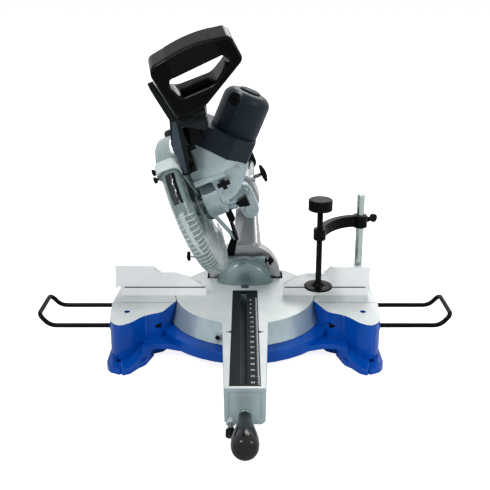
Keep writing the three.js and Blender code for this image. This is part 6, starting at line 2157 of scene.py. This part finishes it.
@dataclass
class Clamp:
    """The hold-down clamp: chromed post, cranked arm, screw with a knurled knob, and foot."""

    make: Maker
    screw_x: float = 151.0
    screw_y: float = -59.0
    post_x: float = 242.0
    post_y: float = 5.0
    arm_low: float = 238.0
    arm_high: float = 262.0
    bow_a: Corner = (165.0, -23.0)
    bow_b: Corner = (190.0, 7.0)
    bow_half: float = 8.2
    droop: float = 5.0
    arm_steps: int = 16
    arm_rim: float = 1.6
    arm_in: Corner = (1.5, 1.0)
    arm_flat: float = 0.8
    boss: Corner = (12.8, 15.2)
    boss_edge: float = 1.4
    bore: Corner = (6.6, 8.3)
    post: Outline = ((6.8, 68), (8, 69.2), (8, 307), (7.4, 309), (5.6, 310))
    thread: tuple[float, ...] = (6.2, 141.0, 297.0, 2.0, 0.75)
    stem_foot: Corner = (4.6, 139.0)
    knob: Place = (24.4, 296.2, 317.6)
    knob_flute: float = 0.9
    crown: Outline = ((22.6, 317.4), (22.2, 318.6), (20.6, 319), (19.2, 318.5), (2, 318.3))
    collar: Outline = ((9.2, 292), (9.8, 292.8), (10.4, 296.4))
    foot: Outline = (
        (27.4, 128.5), (29, 129), (29, 131.4), (28.2, 132.6), (26.4, 132.9), (24.2, 132.2), (19, 131.6),
        (14.4, 132), (11.6, 133.6), (10.3, 136), (10, 138.6), (9.2, 140.4), (7.4, 141),
    )

    def build(self) -> None:
        """Make the post, the arm, the two screws and the foot."""
        make = self.make
        self._finish(make.lathe(self.post, 48), "clamp_post", HARD_CHROME, (self.post_x, self.post_y, 0))
        self._arm()
        self._screw()
        self._foot()
        make.cast("clamp_thumbscrew", BLACK_LACQUER, 0.9)

    def _arm(self) -> None:
        """Sweep the cranked arm from boss to boss, a little higher at the post."""
        make = self.make
        screw, post = (self.screw_x, self.screw_y), (self.post_x, self.post_y)
        pulls = [Vector(pull) for pull in (screw, self.bow_a, self.bow_b, post)]
        arm = make.loft([self._ring(pulls, i / self.arm_steps) for i in range(self.arm_steps + 1)])
        for (x, y), radius, low, high, sides in (
            (screw, self.boss[0], self.arm_low - self.droop, self.arm_high - self.droop, 10),
            (post, self.boss[1], self.arm_low, self.arm_high + 2.0, 40),
        ):
            boss = make.plate(circle(radius, sides, x, y), low, high)
            make.soften(boss, self.boss_edge, segments=3, angle=50)
            make.fuse(arm, boss, twisted=True)
        for (x, y), radius in zip((screw, post), self.bore):
            make.fuse(arm, make.plate(circle(radius, 40, x, y), 200, 300), "DIFFERENCE", twisted=True)
        make.stand(make.settle(arm, WORLD), "cranked_arm", BLACK_LACQUER, "clamp_arm", smooth=40)

    def _ring(self, pulls: list[Vector], t: float) -> list[Point]:
        """Draw the arm's section at a place along its curve.

        Args:
            pulls: the four points that bend the curve, in X and Y.
            t: the place, from 0 at the screw to 1 at the post.

        Returns:
            The section's points.
        """
        weights = ((1 - t) ** 3, 3 * t * (1 - t) ** 2, 3 * t * t * (1 - t), t ** 3)
        slopes = (-3 * (1 - t) ** 2, 3 * (1 - t) * (1 - 3 * t), 3 * t * (2 - 3 * t), 3 * t * t)
        middle = sum((pull * w for pull, w in zip(pulls, weights)), Vector((0, 0)))
        along = sum((pull * w for pull, w in zip(pulls, slopes)), Vector((0, 0))).normalized()
        side = Vector((-along.y, along.x)) * self.bow_half
        rise = self.droop * (1 - t * t * (3 - 2 * t))
        low, high = self.arm_low - rise + self.arm_in[0], self.arm_high - rise + self.arm_in[1]
        rim, flat = self.arm_rim, self.arm_flat
        corners = (
            (1, low + rim), (1, high - rim), (flat, high), (-flat, high),
            (-1, high - rim), (-1, low + rim), (-flat, low), (flat, low),
        )
        return [
            (middle.x + side.x * across, middle.y + side.y * across, level)
            for across, level in corners
        ]

    def _finish(self, piece: Piece, node: str, finish: Finish, place: Point) -> None:
        """Seat a turned piece and let it stand for its node.

        Args:
            piece: the piece, drawn up along Z.
            node: the CAD node.
            finish: its finish.
            place: where its origin goes, in millimetres.
        """
        make = self.make
        make.turn(piece, Matrix.Translation(place))
        make.stand(make.settle(piece, WORLD), "turned_" + node, finish, node, smooth=50)

    def _screw(self) -> None:
        """Turn the threaded screw and its knurled knob."""
        make = self.make
        radius, low, high = self.knob
        stem = make.lathe([self.stem_foot, *thread_profile(*self.thread)], 32)
        knob = make.plate(circle(radius, 120, flute=self.knob_flute), low, high)
        make.soften(knob, self.boss_edge, segments=3, angle=60)
        piece = make.merge(stem, knob, make.lathe(self.crown, 64), make.lathe(self.collar, 40))
        self._finish(piece, "clamp_screw", BLACK_LACQUER, (self.screw_x, self.screw_y, 0))

    def _foot(self) -> None:
        """Turn the foot: a flat dish with a raised rim and a ball neck."""
        place = (self.screw_x, self.screw_y, 0)
        self._finish(self.make.lathe(self.foot, 72), "clamp_foot", BLACK_LACQUER, place)


@dataclass
class Springs:
    """The two coil springs, refined copies of the CAD's own coils."""

    make: Maker

    def build(self) -> None:
        """Refine both coils."""
        self.make.cast_all([("index_spring", ZINC_STEEL, 0.0), ("slide_lock_spring", ZINC_STEEL, 0.0)])


def main() -> None:
    """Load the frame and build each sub-assembly in order."""
    logging.basicConfig(level=logging.INFO, format="%(message)s")
    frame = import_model()
    make = Maker(frame)
    Studio().build()
    for part in (
        Base, SideBars, Turntable, MitreLock, TiltColumn, Carriage, GearCase, Motor, Guards, Blade, Handle,
        Clamp, Springs,
    ):
        LOG.info("building %s", part.__name__)
        part(make).build()
    bpy.context.view_layer.update()
    LOG.info("%d pieces", make.count)


if __name__ == "__main__":
    main()
